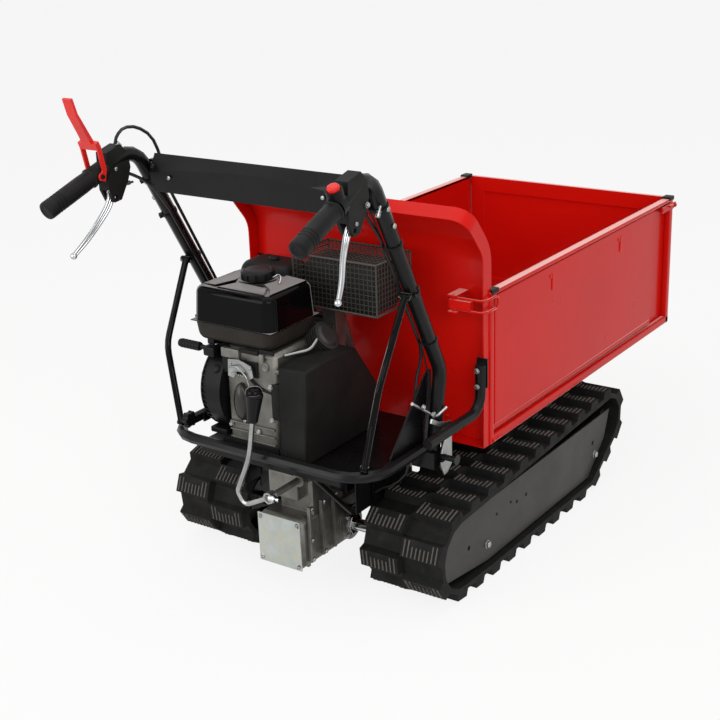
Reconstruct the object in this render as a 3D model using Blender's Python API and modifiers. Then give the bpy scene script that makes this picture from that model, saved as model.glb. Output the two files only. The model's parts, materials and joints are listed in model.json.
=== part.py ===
"""Tracked power carrier (mini dumper): the construction, as separate named pieces.

Metres, +Z up. The operator walks behind, at -Y, and the load box is in front, at +Y.
X = 0 is the middle of the machine and Z = 0 is the ground under the track lugs.
"""

import math

import bmesh
import bpy
from mathutils import Matrix, Vector

# Clearances
GAP = 0.0003
RUNNING_GAP = 0.0005
OVERLAP = 0.002
HOLE_TURN = 0.11
HOLE_SIDES = 6
ROD_SIDES = 12
PIN_SIDES = 8

# Track belts and their wheels
TRACK_WIDTH = 0.180
TRACK_X = 0.239
BELT_THICK = 0.011
LUG_HEIGHT = 0.015
LUG_PITCH = 0.066
LUG_ROW_GAP = 0.006
HORN_HEIGHT = 0.012
HORN_WIDTH = 0.018
HORN_SLOPE = 0.004
SPROCKET_Y = -0.332
SPROCKET_LIFT = 0.004
SPROCKET_RADIUS = 0.070
SPROCKET_TEETH = 9
SPROCKET_RIM_WIDTH = 0.018
IDLER_Y = 0.324
IDLER_Z = 0.147
IDLER_RADIUS = 0.052
ROLLER_RADIUS = 0.022
ROLLER_REAR_Y = -0.215
ROLLER_FRONT_Y = 0.235
ROLLERS = 3
WHEEL_HALF_WIDTH = 0.040
CHORD_GAP = 0.0024
SMALL_WHEEL = 0.030
ROLLER_HALF_WIDTH = 0.054
AXLE_RADIUS = 0.0125
IDLER_SHAFT_RADIUS = 0.008
ROLLER_SHAFT_RADIUS = 0.006

# Track frames inside the belts, and their outer covers
SIDE_PLATE_X = 0.062
SIDE_PLATE_THICK = 0.004
SIDE_PLATE_Z_LOW = 0.036
SIDE_BEAM_Z_LOW = 0.080
SIDE_BEAM_Z_HIGH = 0.120
COVER_THICK = 0.0035
COVER_X = 0.3135
COVER_BOLT_REAR_Y = -0.292
COVER_BOLT_FRONT_Y = 0.262
COVER_BOLT_REAR_Z = 0.092
COVER_BOLT_FRONT_Z = 0.110
COVER_BOLT_RADIUS = 0.005
COVER_BOSS_RADIUS = 0.012

# Chassis
RAIL_X = 0.085
RAIL_SIZE = 0.040
RAIL_Z = 0.225
RAIL_REAR_Y = -0.400
CROSS_TUBE_SIZE = 0.036
CROSS_TUBE_Z = 0.100
CROSS_TUBE_Y = (-0.170, 0.020, 0.200)
WEB_SIZE = 0.028
PIVOT_Y = 0.395
PIVOT_SHAFT_RADIUS = 0.010
PIVOT_SHAFT_HALF = 0.136
BEAM_Y = -0.310
BEAM_DEPTH = 0.036
BEAM_HEIGHT = 0.034
BEAM_HALF = 0.262
POST_Y = -0.385
POST_SIZE = 0.030
GUSSET_THICK = 0.004
GUSSET_REAR_Y = -0.430
GUSSET_TOP_Z = 0.450

# Deck and its guard tube
DECK_TOP = 0.300
DECK_THICK = 0.004
DECK_LEFT = -0.165
DECK_RIGHT = 0.215
DECK_FRONT_Y = -0.205
DECK_LIP = 0.022
DECK_CORNER = (0.043, 0.028)
GUARD_RADIUS = 0.011
GUARD_Y = -0.525
GUARD_HALF = 0.243
GUARD_CORNER = 0.070

# Load box
BOX_HALF = 0.288
BOX_REAR_Y = -0.154
BOX_FRONT_Y = 0.741
BOX_BOTTOM = 0.257
BOX_TOP = 0.577
SHEET = 0.0025
FLOOR_HALF = 0.270
FLOOR_FRONT_CLEARANCE = 0.0145
FRONT_INNER_Y = 0.731
FRONT_PRESS = 0.0055
FRONT_BORDER = 0.030
HEADBOARD_TOP = 0.757
HEADBOARD_BEND_Z = 0.665
HEADBOARD_LEAN = 0.075
HEADBOARD_BEND_RADIUS = 0.090
HEADBOARD_FLANGE = 0.030
HEADBOARD_CORNER = 0.035
PANEL_DEPTH = 0.014
PANEL_PRESS = 0.008
PANEL_REAR_BORDER = 0.012
PANEL_FRONT_BORDER = 0.095
PANEL_BOTTOM_BORDER = 0.040
PANEL_TOP_BORDER = 0.016
PANEL_DRAFT = 0.006
PANEL_END_GAP = 0.001
FRONT_END_GAP = 0.003
HINGE_HEIGHT = 0.006
HINGE_PIN_RADIUS = 0.003
HINGE_EYE_RADIUS = 0.0055
HINGE_HALF = 0.012
HINGE_END = 0.010
SIDE_HINGES = (0.220, 0.600)
FRONT_HINGE_X = 0.190
PANEL_SLOTS = ((0.084, 0.549), (0.503, 0.541))
SLOT_HALF = 0.014
RIB_WIDTH = 0.040
RIB_REAR_Y = -0.140
RIB_FRONT_Y = 0.700
PIVOT_EAR_THICK = 0.008
PIVOT_EAR_X = 0.110
PIVOT_EAR_RADIUS = 0.019

# Handlebars, struts and grips
BAR_RADIUS = 0.014
BAR_FOOT = (0.250, -0.311)
BAR_FOOT_UPRIGHT = 0.006
BAR_KNEE = (0.255, -0.290, 0.455)
BAR_TOP = (0.2655, -0.526, 0.882)
BAR_END = (0.2795, -0.745, 0.802)
BAR_KNEE_BEND = 0.060
BAR_TOP_BEND = 0.048
GRIP_RADIUS = 0.0175
GRIP_LENGTH = 0.115
GRIP_CAP = 0.004
GRIP_FLANGE = 0.0015
STRUT_RADIUS = 0.0065
STRUT_TOP_Z = 0.645
STRUT_BEND = (0.253, -0.495, 0.482)

# Lever brackets and levers
BRACKET_THICK = 0.026
BRACKET_Y = -0.582
LEVER_PIVOT_DROP = 0.062
LEVER_PIN_RADIUS = 0.004
LEVER_THICK = 0.012
LEVER_TIP = (-0.080, -0.100)
LEVER_TIP_RADIUS = 0.006
LEVER_LEAN = 0.42
LEVER_LEAN_START = 0.026
DRIVE_LEVER_Y = -0.628
DRIVE_LEVER_LENGTH = 0.150
DRIVE_LEVER_FORK = 0.0225
DRIVE_LEVER_PRONG = 0.0045
DRIVE_LEVER_TRAVEL = 80
SWITCH_Y = -0.622
SWITCH_COLLAR = 0.005
BUTTON_RADIUS = 0.012
BUTTON_TRAVEL = 0.003

# Control panel between the handlebars
CONTROL_HALF = 0.224
CONTROL_Y = -0.532
CONTROL_LOW_Z = 0.800
CONTROL_FOLD_Z = 0.837
CONTROL_FOLD_RISE = 0.016
CONTROL_TOP_Z = 0.870
CONTROL_TOP_SETBACK = 0.018
CONTROL_LOW_SETBACK = 0.009
CONTROL_SHEET = 0.002

# Engine
CRANK_Y = -0.425
CRANK_Z = 0.405
CRANKCASE_LEFT = -0.105
CRANKCASE_RIGHT = 0.020
CRANKCASE_REAR = -0.495
CRANKCASE_FRONT = -0.350
CRANKCASE_TOP = 0.505
FOOT_HEIGHT = 0.012
CYLINDER_TILT = math.radians(20)
CYLINDER_LENGTH = 0.175
CYLINDER_WIDTH = 0.105
FINS = 7
FIN_THICK = 0.0035
CYLINDER_RISE = 0.010
MANIFOLD_Y = -0.285
MANIFOLD_SIZE = 0.032
RECOIL_RADIUS = 0.088
RECOIL_DEPTH = 0.058
RECOIL_VENTS = 6
RECOIL_GRIP_Y = -0.498
RECOIL_GRIP_Z = 0.492
RECOIL_GRIP_HALF = 0.036
TANK_LEFT = -0.175
TANK_RIGHT = 0.020
TANK_REAR = -0.497
TANK_FRONT = -0.345
TANK_BOTTOM = 0.545
TANK_TOP = 0.632
TANK_WALL = 0.003
TANK_FLANGE = 0.005
CAP_X = -0.078
CAP_Y = -0.412
CAP_RADIUS = 0.030
CAP_HEIGHT = 0.022
CAP_NOTCHES = 6
NECK_RADIUS = 0.020
NECK_HEIGHT = 0.004
FILTER_LEFT = -0.210
FILTER_RIGHT = -0.070
FILTER_REAR = -0.336
FILTER_FRONT = -0.245
FILTER_BOTTOM = 0.560
FILTER_TOP = 0.630
MUFFLER_LEFT = -0.050
MUFFLER_RIGHT = 0.125
MUFFLER_REAR = -0.312
MUFFLER_FRONT = -0.214
MUFFLER_BOTTOM = 0.540
MUFFLER_TOP = 0.640
CAGE_MARGIN = 0.013
CAGE_BAR = 0.005
CAGE_PITCH = 0.048

# Belt cover
COVER_LEFT = 0.031
COVER_RIGHT = 0.094
COVER_REAR = -0.510
COVER_FRONT = -0.262
COVER_TOP = 0.487
COVER_SHEET = 0.003

# Gearbox and gear lever
GEARBOX_HALF = 0.054
GEARBOX_REAR = -0.486
GEARBOX_FRONT = -0.272
GEARBOX_LOW = 0.055
GEARBOX_HIGH = 0.165
TOWER_LEFT = -0.030
TOWER_RIGHT = 0.050
TOWER_REAR = -0.445
TOWER_FRONT = -0.333
BEARING_RADIUS = 0.036
BEARING_REACH = 0.006
SELECTOR_X = 0.042
SELECTOR_Z = 0.246
SELECTOR_RADIUS = 0.007
LEVER_Y = -0.560
LEVER_RADIUS = 0.005
LEVER_LOW = (-0.022, 0.214)
LEVER_DECK = (-0.003, 0.317)
LEVER_TOP = (0.010, 0.394)
KNOB_LENGTH = 0.075
KNOB_RADIUS = 0.0165

# Tip handle and its latch
HANDLE_X = 0.288
HANDLE_RADIUS = 0.011
HANDLE_TOP_Z = 0.440
HANDLE_LOW_Z = 0.345
HANDLE_END_Y = -0.392
HANDLE_BEND = 0.036
HANDLE_PLATE = 0.004
HANDLE_PLATE_HALF = 0.014
LATCH_PIN_Y = -0.308
LATCH_PIN_Z = 0.284
LATCH_PIN_RADIUS = 0.006
LATCH_PIN_END = 0.302
LATCH_PIVOT_Y = -0.294
LATCH_X = 0.2712
LATCH_THICK = 0.004
LATCH_MOUTH_RISE = 0.0048

# Corner latches
LATCH_BAR_THICK = 0.004
LATCH_BAR_WIDTH = 0.014
LATCH_BAR_Z = 0.556
LATCH_BAR_PIVOT_Y = 0.676
STUD_RADIUS = 0.004
STUD_FORWARD = 0.0065
STUD_ROOT_X = 0.258
STUD_END_X = 0.296
LATCH_PIN_BOSS = 0.007
LATCH_PIN_DEPTH = 0.009
LOOP_PIVOT_X = 0.228
LOOP_PIVOT_Y = -0.193
LOOP_PIN_RADIUS = 0.003
LOOP_FAR_X = 0.296
LOOP_EAR_NEAR = 0.0155
KEEPER_Y = -0.1465
KEEPER_OUTER = 0.2930
LOOP_WIRE = 0.0025
LOOP_Z = 0.556
LOOP_HALF = 0.012

# Star knob and cables
STAR_RADIUS = 0.017
STAR_LOBES = 6
STAR_STEM = 0.008
STAR_SEAT = 0.003
CABLE_RADIUS = 0.0032
CABLE_HEIGHTS = (0.740, 0.530)
CABLE_TURN = 25
LEAST_TURN = math.radians(5)
# Places along the cables: inwards, rearwards and up from the bracket, then |x|, y and z
STEERING_CABLE_TOP = (
    (0.002, 0.040, -0.029),
    (0.008, 0.052, -0.036),
    (0.020, 0.066, -0.048),
    (0.026, 0.086, -0.070),
)
STEERING_CABLE_LOW = (
    (0.2290, -0.315, 0.478),
    (0.2213, -0.324, 0.440),
    (0.2213, -0.348, 0.340),
    (0.2213, -0.352, 0.262),
    (0.1900, -0.353, 0.225),
    (0.1480, -0.355, 0.205),
    (0.1000, -0.358, 0.168),
    (0.0780, -0.358, 0.148),
)
DRIVE_CABLE_TOP = (
    (0.006, 0.006, 0.0330),
    (0.008, 0.010, 0.0480),
    (0.016, 0.022, 0.0620),
    (0.026, 0.046, 0.0600),
    (0.028, 0.080, 0.0380),
    (0.027, 0.100, 0.0000),
    (0.026, 0.110, -0.0500),
)
DRIVE_CABLE_LOW = (
    (-0.2260, -0.300, 0.475),
    (-0.2000, -0.288, 0.400),
    (-0.1850, -0.286, 0.335),
    (-0.1560, -0.286, 0.309),
    (-0.1200, -0.286, 0.3045),
    (0.0050, -0.286, 0.3075),
    (0.0450, -0.286, 0.3075),
)

GROUND_INNER = LUG_HEIGHT + BELT_THICK
SPROCKET_Z = GROUND_INNER + SPROCKET_LIFT + SPROCKET_RADIUS
ROLLER_Z = GROUND_INNER + ROLLER_RADIUS
PIVOT_Z = RAIL_Z
RAIL_TOP = RAIL_Z + RAIL_SIZE / 2
BEAM_TOP = DECK_TOP - DECK_THICK - GAP
BAR_FOOT_Z = BEAM_TOP + GAP
GUARD_Z = BEAM_TOP + GAP + GUARD_RADIUS
DECK_REAR = GUARD_Y + GUARD_RADIUS + GAP
HINGE_X = BOX_HALF - PANEL_DEPTH / 2
HINGE_Z = BOX_BOTTOM + HINGE_HEIGHT
HINGE_BORE = HINGE_PIN_RADIUS + GAP
FRONT_HINGE_Y = BOX_FRONT_Y - HINGE_HEIGHT
PANEL_REAR = BOX_REAR_Y + SHEET + PANEL_END_GAP
FRONT_HALF = BOX_HALF - PANEL_DEPTH - FRONT_END_GAP
SIDES = {"left": -1, "right": 1}

# Finishes: name, sRGB colour, roughness and metallic
GLOSS_RED = ("gloss_red", "#b8100c", 0.25, 0.0)
RED_PLASTIC = ("red_plastic", "#c4140f", 0.35, 0.0)
BLACK_PAINT = ("black_paint", "#17181a", 0.40, 0.0)
GLOSS_BLACK = ("gloss_black", "#0b0b0d", 0.12, 0.0)
MUFFLER_BLACK = ("muffler_black", "#1b1a19", 0.60, 0.3)
BLACK_PLASTIC = ("black_plastic", "#1a1b1c", 0.50, 0.0)
GRIP_RUBBER = ("grip_rubber", "#141414", 0.70, 0.0)
RUBBER = ("rubber", "#1c1c1c", 0.80, 0.0)
CABLE_BLACK = ("cable_black", "#111111", 0.55, 0.0)
COVER_PAINT = ("cover_paint", "#4a4643", 0.45, 0.0)
CAST_IRON = ("cast_iron", "#2a2a2b", 0.60, 0.6)
ALUMINIUM = ("aluminium", "#8f9194", 0.45, 0.9)
CHROME = ("chrome", "#c9cbce", 0.12, 1.0)
ZINC = ("zinc", "#a9a690", 0.35, 0.9)

parts = None
cutters = None


def start_scene():
    """Empties the file and makes the two collections."""
    global parts, cutters
    for old in list(bpy.data.objects):
        bpy.data.objects.remove(old, do_unlink=True)
    parts = bpy.data.collections.new("power_carrier")
    cutters = bpy.data.collections.new("cutters")
    bpy.context.scene.collection.children.link(parts)
    bpy.context.scene.collection.children.link(cutters)


def colour(code):
    """A linear colour from a hex sRGB code."""
    values = [int(code[k : k + 2], 16) / 255 for k in (1, 3, 5)]
    return [v / 12.92 if v <= 0.04045 else ((v + 0.055) / 1.055) ** 2.4 for v in values]


def surface(finish):
    """The Principled material of a finish, made when it is first needed."""
    name, code, roughness, metallic = finish
    material = bpy.data.materials.get(name)
    if material is None:
        material = bpy.data.materials.new(name)
        material.use_nodes = True
        shader = material.node_tree.nodes["Principled BSDF"]
        shader.inputs["Base Color"].default_value = (*colour(code), 1)
        shader.inputs["Roughness"].default_value = roughness
        shader.inputs["Metallic"].default_value = metallic
    return material


def helper(name, mesh):
    """An object that only feeds Boolean modifiers."""
    obj = bpy.data.objects.new(name, mesh)
    cutters.objects.link(obj)
    obj.hide_render = True
    obj.display_type = "WIRE"
    return obj


def mesh_from(shape, name):
    """Closes a bmesh into mesh data with outward faces."""
    bmesh.ops.remove_doubles(shape, verts=shape.verts, dist=0.00001)
    bmesh.ops.recalc_face_normals(shape, faces=shape.faces)
    mesh = bpy.data.meshes.new(name)
    shape.to_mesh(mesh)
    shape.free()
    return mesh


def box(low, high, bevel=0.0, segments=1):
    """An axis-aligned block between two corners."""
    low, high = Vector(low), Vector(high)
    shape = bmesh.new()
    bmesh.ops.create_cube(shape, size=1)
    size = high - low
    bmesh.ops.scale(shape, vec=size, verts=shape.verts)
    bmesh.ops.translate(shape, vec=(low + high) / 2, verts=shape.verts)
    obj = helper("block", mesh_from(shape, "block"))
    if bevel:
        soften(obj, bevel, segments)
    return obj


def span(side, near, far, low, high, bevel=0.0, segments=1):
    """A block on one side of the machine, from |x| = near to far; low and high are (y, z)."""
    x0, x1 = sorted((side * near, side * far))
    return box((x0, *low), (x1, *high), bevel, segments)


def soften(obj, width, segments=1, angle=30):
    """Rounds the edges sharper than an angle."""
    bevel = obj.modifiers.new("soften", "BEVEL")
    bevel.width = width
    bevel.segments = segments
    bevel.limit_method = "ANGLE"
    bevel.angle_limit = math.radians(angle)
    bevel.use_clamp_overlap = True


TURN = {
    "X": Matrix.Rotation(math.pi / 2, 4, "Y"),
    "Y": Matrix.Rotation(-math.pi / 2, 4, "X"),
    "Z": Matrix.Identity(4),
}


def rod(axis, start, end, centre, radius, sides=ROD_SIDES, end_radius=None):
    """A cylinder or cone along an axis; centre is its two other coordinates, in XYZ order."""
    shape = bmesh.new()
    bmesh.ops.create_cone(
        shape,
        cap_ends=True,
        segments=sides,
        radius1=radius,
        radius2=radius if end_radius is None else end_radius,
        depth=abs(end - start),
    )
    index = "XYZ".index(axis)
    middle = list(centre)
    middle.insert(index, (start + end) / 2)
    turn = TURN[axis] if end > start else TURN[axis] @ Matrix.Rotation(math.pi, 4, "X")
    bmesh.ops.transform(shape, matrix=Matrix.Translation(middle) @ turn, verts=shape.verts)
    return helper("rod", mesh_from(shape, "rod"))


def rod_between(start, end, radius, sides=12, end_radius=None):
    """A cylinder or cone between two points."""
    start, end = Vector(start), Vector(end)
    shape = bmesh.new()
    bmesh.ops.create_cone(
        shape,
        cap_ends=True,
        segments=sides,
        radius1=radius,
        radius2=radius if end_radius is None else end_radius,
        depth=(end - start).length,
    )
    turn = (end - start).to_track_quat("Z", "Y").to_matrix().to_4x4()
    bmesh.ops.transform(
        shape, matrix=Matrix.Translation((start + end) / 2) @ turn, verts=shape.verts
    )
    return helper("rod", mesh_from(shape, "rod"))


def ball(centre, radius, scale=(1, 1, 1)):
    """A ball, or an egg with a scale."""
    shape = bmesh.new()
    bmesh.ops.create_uvsphere(shape, u_segments=8, v_segments=6, radius=radius)
    bmesh.ops.scale(shape, vec=scale, verts=shape.verts)
    bmesh.ops.translate(shape, vec=centre, verts=shape.verts)
    return helper("ball", mesh_from(shape, "ball"))


def curve_mesh(curve, name, matrix):
    """The mesh of a curve, closed where its caps meet its sides."""
    source = bpy.data.objects.new(name, curve)
    cutters.objects.link(source)
    bpy.context.view_layer.update()
    graph = bpy.context.evaluated_depsgraph_get()
    made = bpy.data.meshes.new_from_object(source.evaluated_get(graph))
    bpy.data.objects.remove(source, do_unlink=True)
    shape = bmesh.new()
    shape.from_mesh(made)
    bmesh.ops.transform(shape, matrix=matrix, verts=shape.verts)
    return mesh_from(shape, name)


# Local X and Y of a flat outline, and local Z, in the world, for each axis of extrusion
PLANES = {
    "X": Matrix(((0, 0, 1, 0), (1, 0, 0, 0), (0, 1, 0, 0), (0, 0, 0, 1))),
    "Y": Matrix(((1, 0, 0, 0), (0, 0, 1, 0), (0, 1, 0, 0), (0, 0, 0, 1))),
    "Z": Matrix.Identity(4),
}


def plate(axis, low, high, points, holes=()):
    """A flat outline extruded along an axis, with round holes given as (u, v, radius)."""
    curve = bpy.data.curves.new("outline", "CURVE")
    curve.dimensions = "2D"
    curve.fill_mode = "BOTH"
    curve.extrude = abs(high - low) / 2
    loops = [points]
    for number, (u, v, radius) in enumerate(holes, 1):
        outer = radius / math.cos(math.pi / HOLE_SIDES)
        loops.append(circle(u, v, outer, HOLE_SIDES, HOLE_TURN * number))
    for loop in loops:
        spline = curve.splines.new("POLY")
        spline.points.add(len(loop) - 1)
        for point, (u, v) in zip(spline.points, loop):
            point.co = (u, v, 0, 1)
        spline.use_cyclic_u = True
    shift = Vector((0, 0, 0))
    shift["XYZ".index(axis)] = (low + high) / 2
    return helper("plate", curve_mesh(curve, "plate", Matrix.Translation(shift) @ PLANES[axis]))


def circle(u, v, radius, steps=16, start=0.0, sweep=2 * math.pi):
    """Points of a circle or an arc; a full circle leaves out its last point."""
    count = steps if abs(sweep) >= 2 * math.pi - 1e-6 else steps + 1
    angles = (start + sweep * k / steps for k in range(count))
    return [(u + radius * math.cos(a), v + radius * math.sin(a)) for a in angles]


def pipe(points, radius, resolution=2):
    """A round bar along points."""
    curve = bpy.data.curves.new("pipe", "CURVE")
    curve.dimensions = "3D"
    curve.bevel_depth = radius
    curve.bevel_resolution = resolution
    curve.use_fill_caps = True
    spline = curve.splines.new("POLY")
    spline.points.add(len(points) - 1)
    for point, place in zip(spline.points, points):
        point.co = (*place, 1)
    return helper("pipe", curve_mesh(curve, "pipe", Matrix.Identity(4)))


def bent(points, radii, steps=5):
    """The points with each inner corner replaced by an arc of its radius."""
    points = [Vector(p) for p in points]
    if not isinstance(radii, (list, tuple)):
        radii = [radii] * (len(points) - 2)
    path = [points[0]]
    for before, corner, after, radius in zip(points, points[1:], points[2:], radii):
        into = (before - corner).normalized()
        out = (after - corner).normalized()
        angle = into.angle(out)
        cut = radius / math.tan(angle / 2)
        centre = corner + (into + out).normalized() * (radius / math.sin(angle / 2))
        first = corner + into * cut - centre
        last = corner + out * cut - centre
        sweep = first.angle(last)
        for k in range(steps + 1):
            share = k / steps
            blend = (
                first * math.sin((1 - share) * sweep) + last * math.sin(share * sweep)
            ) / math.sin(sweep)
            path.append(centre + blend)
    path.append(points[-1])
    return path


def turned(axis, centre, profile, steps=24):
    """A Screw of a profile of (radius, along) points, from the axis at the top to the axis below."""
    mesh = bpy.data.meshes.new("profile")
    mesh.from_pydata(
        [(r, 0, h) for r, h in profile], [(k, k + 1) for k in range(len(profile) - 1)], []
    )
    source = bpy.data.objects.new("profile", mesh)
    cutters.objects.link(source)
    screw = source.modifiers.new("turn", "SCREW")
    screw.steps = screw.render_steps = steps
    screw.use_merge_vertices = True
    screw.merge_threshold = 0.00005
    bpy.context.view_layer.update()
    graph = bpy.context.evaluated_depsgraph_get()
    made = bpy.data.meshes.new_from_object(source.evaluated_get(graph))
    bpy.data.objects.remove(source, do_unlink=True)
    shape = bmesh.new()
    shape.from_mesh(made)
    matrix = Matrix.Translation(centre) @ TURN[axis]
    bmesh.ops.transform(shape, matrix=matrix, verts=shape.verts)
    return helper("turned", mesh_from(shape, "turned"))


def piece(name, material, base, adds=(), cuts=(), origin=(0, 0, 0), parent=None):
    """Turns a helper shape into a named sub-part, with others joined to it and cut from it."""
    for number, other in enumerate(adds):
        join = base.modifiers.new(f"join {number}", "BOOLEAN")
        join.operation = "UNION"
        join.solver = "EXACT"
        join.object = other
    for number, other in enumerate(cuts):
        cut = base.modifiers.new(f"cut {number}", "BOOLEAN")
        cut.operation = "DIFFERENCE"
        cut.solver = "EXACT"
        cut.object = other
    cutters.objects.unlink(base)
    parts.objects.link(base)
    base.name = name
    base.data.name = name
    base.hide_render = False
    base.display_type = "TEXTURED"
    base.data.transform(Matrix.Translation(-Vector(origin)))
    base.location = origin
    base.data.materials.clear()
    base.data.materials.append(surface(material))
    if parent:
        base.parent = parent
        base.matrix_parent_inverse = parent.matrix_world.inverted()
    return base


def belt_circles():
    """The wheels that the belt runs round, as (y, z, radius), in the order of its travel."""
    return [
        (SPROCKET_Y, SPROCKET_Z, SPROCKET_RADIUS),
        (ROLLER_REAR_Y, ROLLER_Z, ROLLER_RADIUS),
        (ROLLER_FRONT_Y, ROLLER_Z, ROLLER_RADIUS),
        (IDLER_Y, IDLER_Z, IDLER_RADIUS),
    ]


def belt_runs():
    """The belt's inner line as straight runs between wheels and arcs round them."""
    wheels = belt_circles()
    leave, meet = [], []
    for (y0, z0, r0), (y1, z1, r1) in zip(wheels, wheels[1:] + wheels[:1]):
        length = math.hypot(y1 - y0, z1 - z0)
        heading = math.atan2(z1 - z0, y1 - y0) - math.asin((r1 - r0) / length)
        outward = heading - math.pi / 2
        leave.append((outward, (y0 + r0 * math.cos(outward), z0 + r0 * math.sin(outward))))
        meet.append((outward, (y1 + r1 * math.cos(outward), z1 + r1 * math.sin(outward))))
    runs = []
    for k, wheel in enumerate(wheels):
        start, finish_angle = meet[k - 1][0], leave[k][0]
        sweep = (finish_angle - start) % (2 * math.pi)
        runs.append(("arc", wheel, start, sweep, wheel[2] * sweep))
        a, b = leave[k][1], meet[k][1]
        runs.append(("line", a, b, leave[k][0], math.dist(a, b)))
    return runs


def belt_point(runs, along):
    """The inner line's place and outward angle at a length along it."""
    for run in runs:
        if along <= run[4] or run is runs[-1]:
            share = min(along / run[4], 1)
            if run[0] == "arc":
                (y, z, radius), angle = run[1], run[2] + run[3] * share
                return y + radius * math.cos(angle), z + radius * math.sin(angle), angle
            (y0, z0), (y1, z1) = run[1], run[2]
            return y0 + (y1 - y0) * share, z0 + (z1 - z0) * share, run[3]
        along -= run[4]
    raise ValueError("no run")


def arc_places(runs):
    """The lengths along the belt where a small wheel's arc starts, ends and passes its middle."""
    places, along = [], 0
    for run in runs:
        if run[0] == "arc":
            tight = run[1][2] < SMALL_WHEEL
            places += [along, along + run[4] / 2, along + run[4]] if tight else []
        along += run[4]
    return places


def belt_section(outer_lug, inner_lug, horn):
    """One cross-section of the belt as (x, height) from its inner line."""
    half, gap = TRACK_WIDTH / 2, LUG_ROW_GAP / 2
    low, tall = BELT_THICK, BELT_THICK + LUG_HEIGHT
    near, wide = HORN_WIDTH / 2, HORN_WIDTH / 2 + HORN_SLOPE
    depth = -HORN_HEIGHT * horn
    inner = tall if inner_lug else low
    outer = tall if outer_lug else low
    outside = [(-half, inner), (-gap, inner), (gap, outer), (half, outer)]
    inside = [(half, 0), (wide, 0), (near, depth), (-near, depth), (-wide, 0), (-half, 0)]
    return outside + inside


def track_belt(side_name, side):
    """A rubber belt: two staggered rows of lugs outside and a row of drive horns inside."""
    runs = belt_runs()
    length = sum(run[4] for run in runs)
    lugs = round(length / LUG_PITCH)
    pitch = length / lugs
    bends = arc_places(runs)
    stations = []
    for k in range(lugs):
        for first, last, outer in ((0.03, 0.45, 1), (0.53, 0.95, 0)):
            start, stop = (k + first) * pitch, (k + last) * pitch
            inside = [place for place in bends if start + 0.002 < place < stop - 0.002]
            stations += [(place, outer, 1 - outer) for place in (start, *inside, stop)]
    shape = bmesh.new()
    rings = []
    for along, outer, inner in stations:
        y, z, angle = belt_point(runs, along)
        ring = []
        for x, height in belt_section(outer, inner, inner):
            place = (
                side * (TRACK_X + x),
                y + height * math.cos(angle),
                z + height * math.sin(angle),
            )
            ring.append(shape.verts.new(place))
        rings.append(ring)
    for ring, following in zip(rings, rings[1:] + rings[:1]):
        for a in range(len(ring)):
            b = (a + 1) % len(ring)
            shape.faces.new((ring[a], ring[b], following[b], following[a]))
    base = helper("belt", mesh_from(shape, "belt"))
    return piece(f"track_belt_{side_name}", RUBBER, base)


def sprocket(side_name, side):
    """A drive sprocket: two toothed rims on a hub, with room for the horns between."""
    x = side * TRACK_X
    groove = HORN_WIDTH / 2 + HORN_SLOPE + RUNNING_GAP * 4
    rim = SPROCKET_RADIUS - CHORD_GAP
    base = rod("X", x - groove - OVERLAP, x + groove + OVERLAP, (SPROCKET_Y, SPROCKET_Z), rim * 0.6)
    adds = []
    for end in (-1, 1):
        near, far = x + end * groove, x + end * (groove + SPROCKET_RIM_WIDTH)
        adds.append(rod("X", *sorted((near, far)), (SPROCKET_Y, SPROCKET_Z), rim, 18))
    cuts = [bore("X", x, WHEEL_HALF_WIDTH * 2, SPROCKET_Y, SPROCKET_Z, AXLE_RADIUS + GAP)]
    for k in range(SPROCKET_TEETH):
        angle = 2 * math.pi * (k + 0.5) / SPROCKET_TEETH
        notch = (
            SPROCKET_Y + rim * 1.06 * math.cos(angle),
            SPROCKET_Z + rim * 1.06 * math.sin(angle),
        )
        cuts.append(bore("X", x, WHEEL_HALF_WIDTH * 2, *notch, rim * 0.17, 5))
    centre = (x, SPROCKET_Y, SPROCKET_Z)
    return piece(f"drive_sprocket_{side_name}", CAST_IRON, base, adds, cuts, centre)


def bore(axis, middle, reach, u, v, radius, sides=ROD_SIDES):
    """A cutter through a piece, reaching this far each way from its middle."""
    outer = radius / math.cos(math.pi / sides)
    return rod(axis, middle - reach, middle + reach, (u, v), outer, sides)


def axle(side_name, side):
    """The drive shaft from the gearbox to the sprocket, held at its outer end by the frame."""
    near = GEARBOX_HALF + BEARING_REACH + GAP
    far = TRACK_X + SIDE_PLATE_X + SIDE_PLATE_THICK + 0.006
    x0, x1 = sorted((side * near, side * far))
    base = rod("X", x0, x1, (SPROCKET_Y, SPROCKET_Z), AXLE_RADIUS)
    collar = sorted((side * near, side * (near + 0.014)))
    adds = [rod("X", *collar, (SPROCKET_Y, SPROCKET_Z), AXLE_RADIUS * 1.8, 6)]
    return piece(
        f"drive_axle_{side_name}", ZINC, base, adds, origin=(side * near, SPROCKET_Y, SPROCKET_Z)
    )


def spool(name, side, y, z, radius, half, shaft, shaft_half):
    """An idler or a roller: a wheel with a groove for the horns, on its own shaft."""
    x = side * TRACK_X
    groove = HORN_WIDTH / 2 + HORN_SLOPE + RUNNING_GAP * 4
    floor = radius - HORN_HEIGHT - RUNNING_GAP * 4
    profile = [
        (0, shaft_half),
        (shaft, shaft_half),
        (shaft, half),
        (radius, half),
        (radius, groove),
        (floor, groove),
        (floor, -groove),
        (radius, -groove),
        (radius, -half),
        (shaft, -half),
        (shaft, -shaft_half),
        (0, -shaft_half),
    ]
    base = turned("X", (x, y, z), profile, round(radius * 150) + 6)
    return piece(name, CAST_IRON, base, origin=(x, y, z))


def idler(side_name, side):
    """The front wheel that keeps the belt tight."""
    reach = SIDE_PLATE_X + SIDE_PLATE_THICK
    name = f"front_idler_{side_name}"
    radius = IDLER_RADIUS - CHORD_GAP
    return spool(
        name, side, IDLER_Y, IDLER_Z, radius, WHEEL_HALF_WIDTH, IDLER_SHAFT_RADIUS, reach
    )


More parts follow.
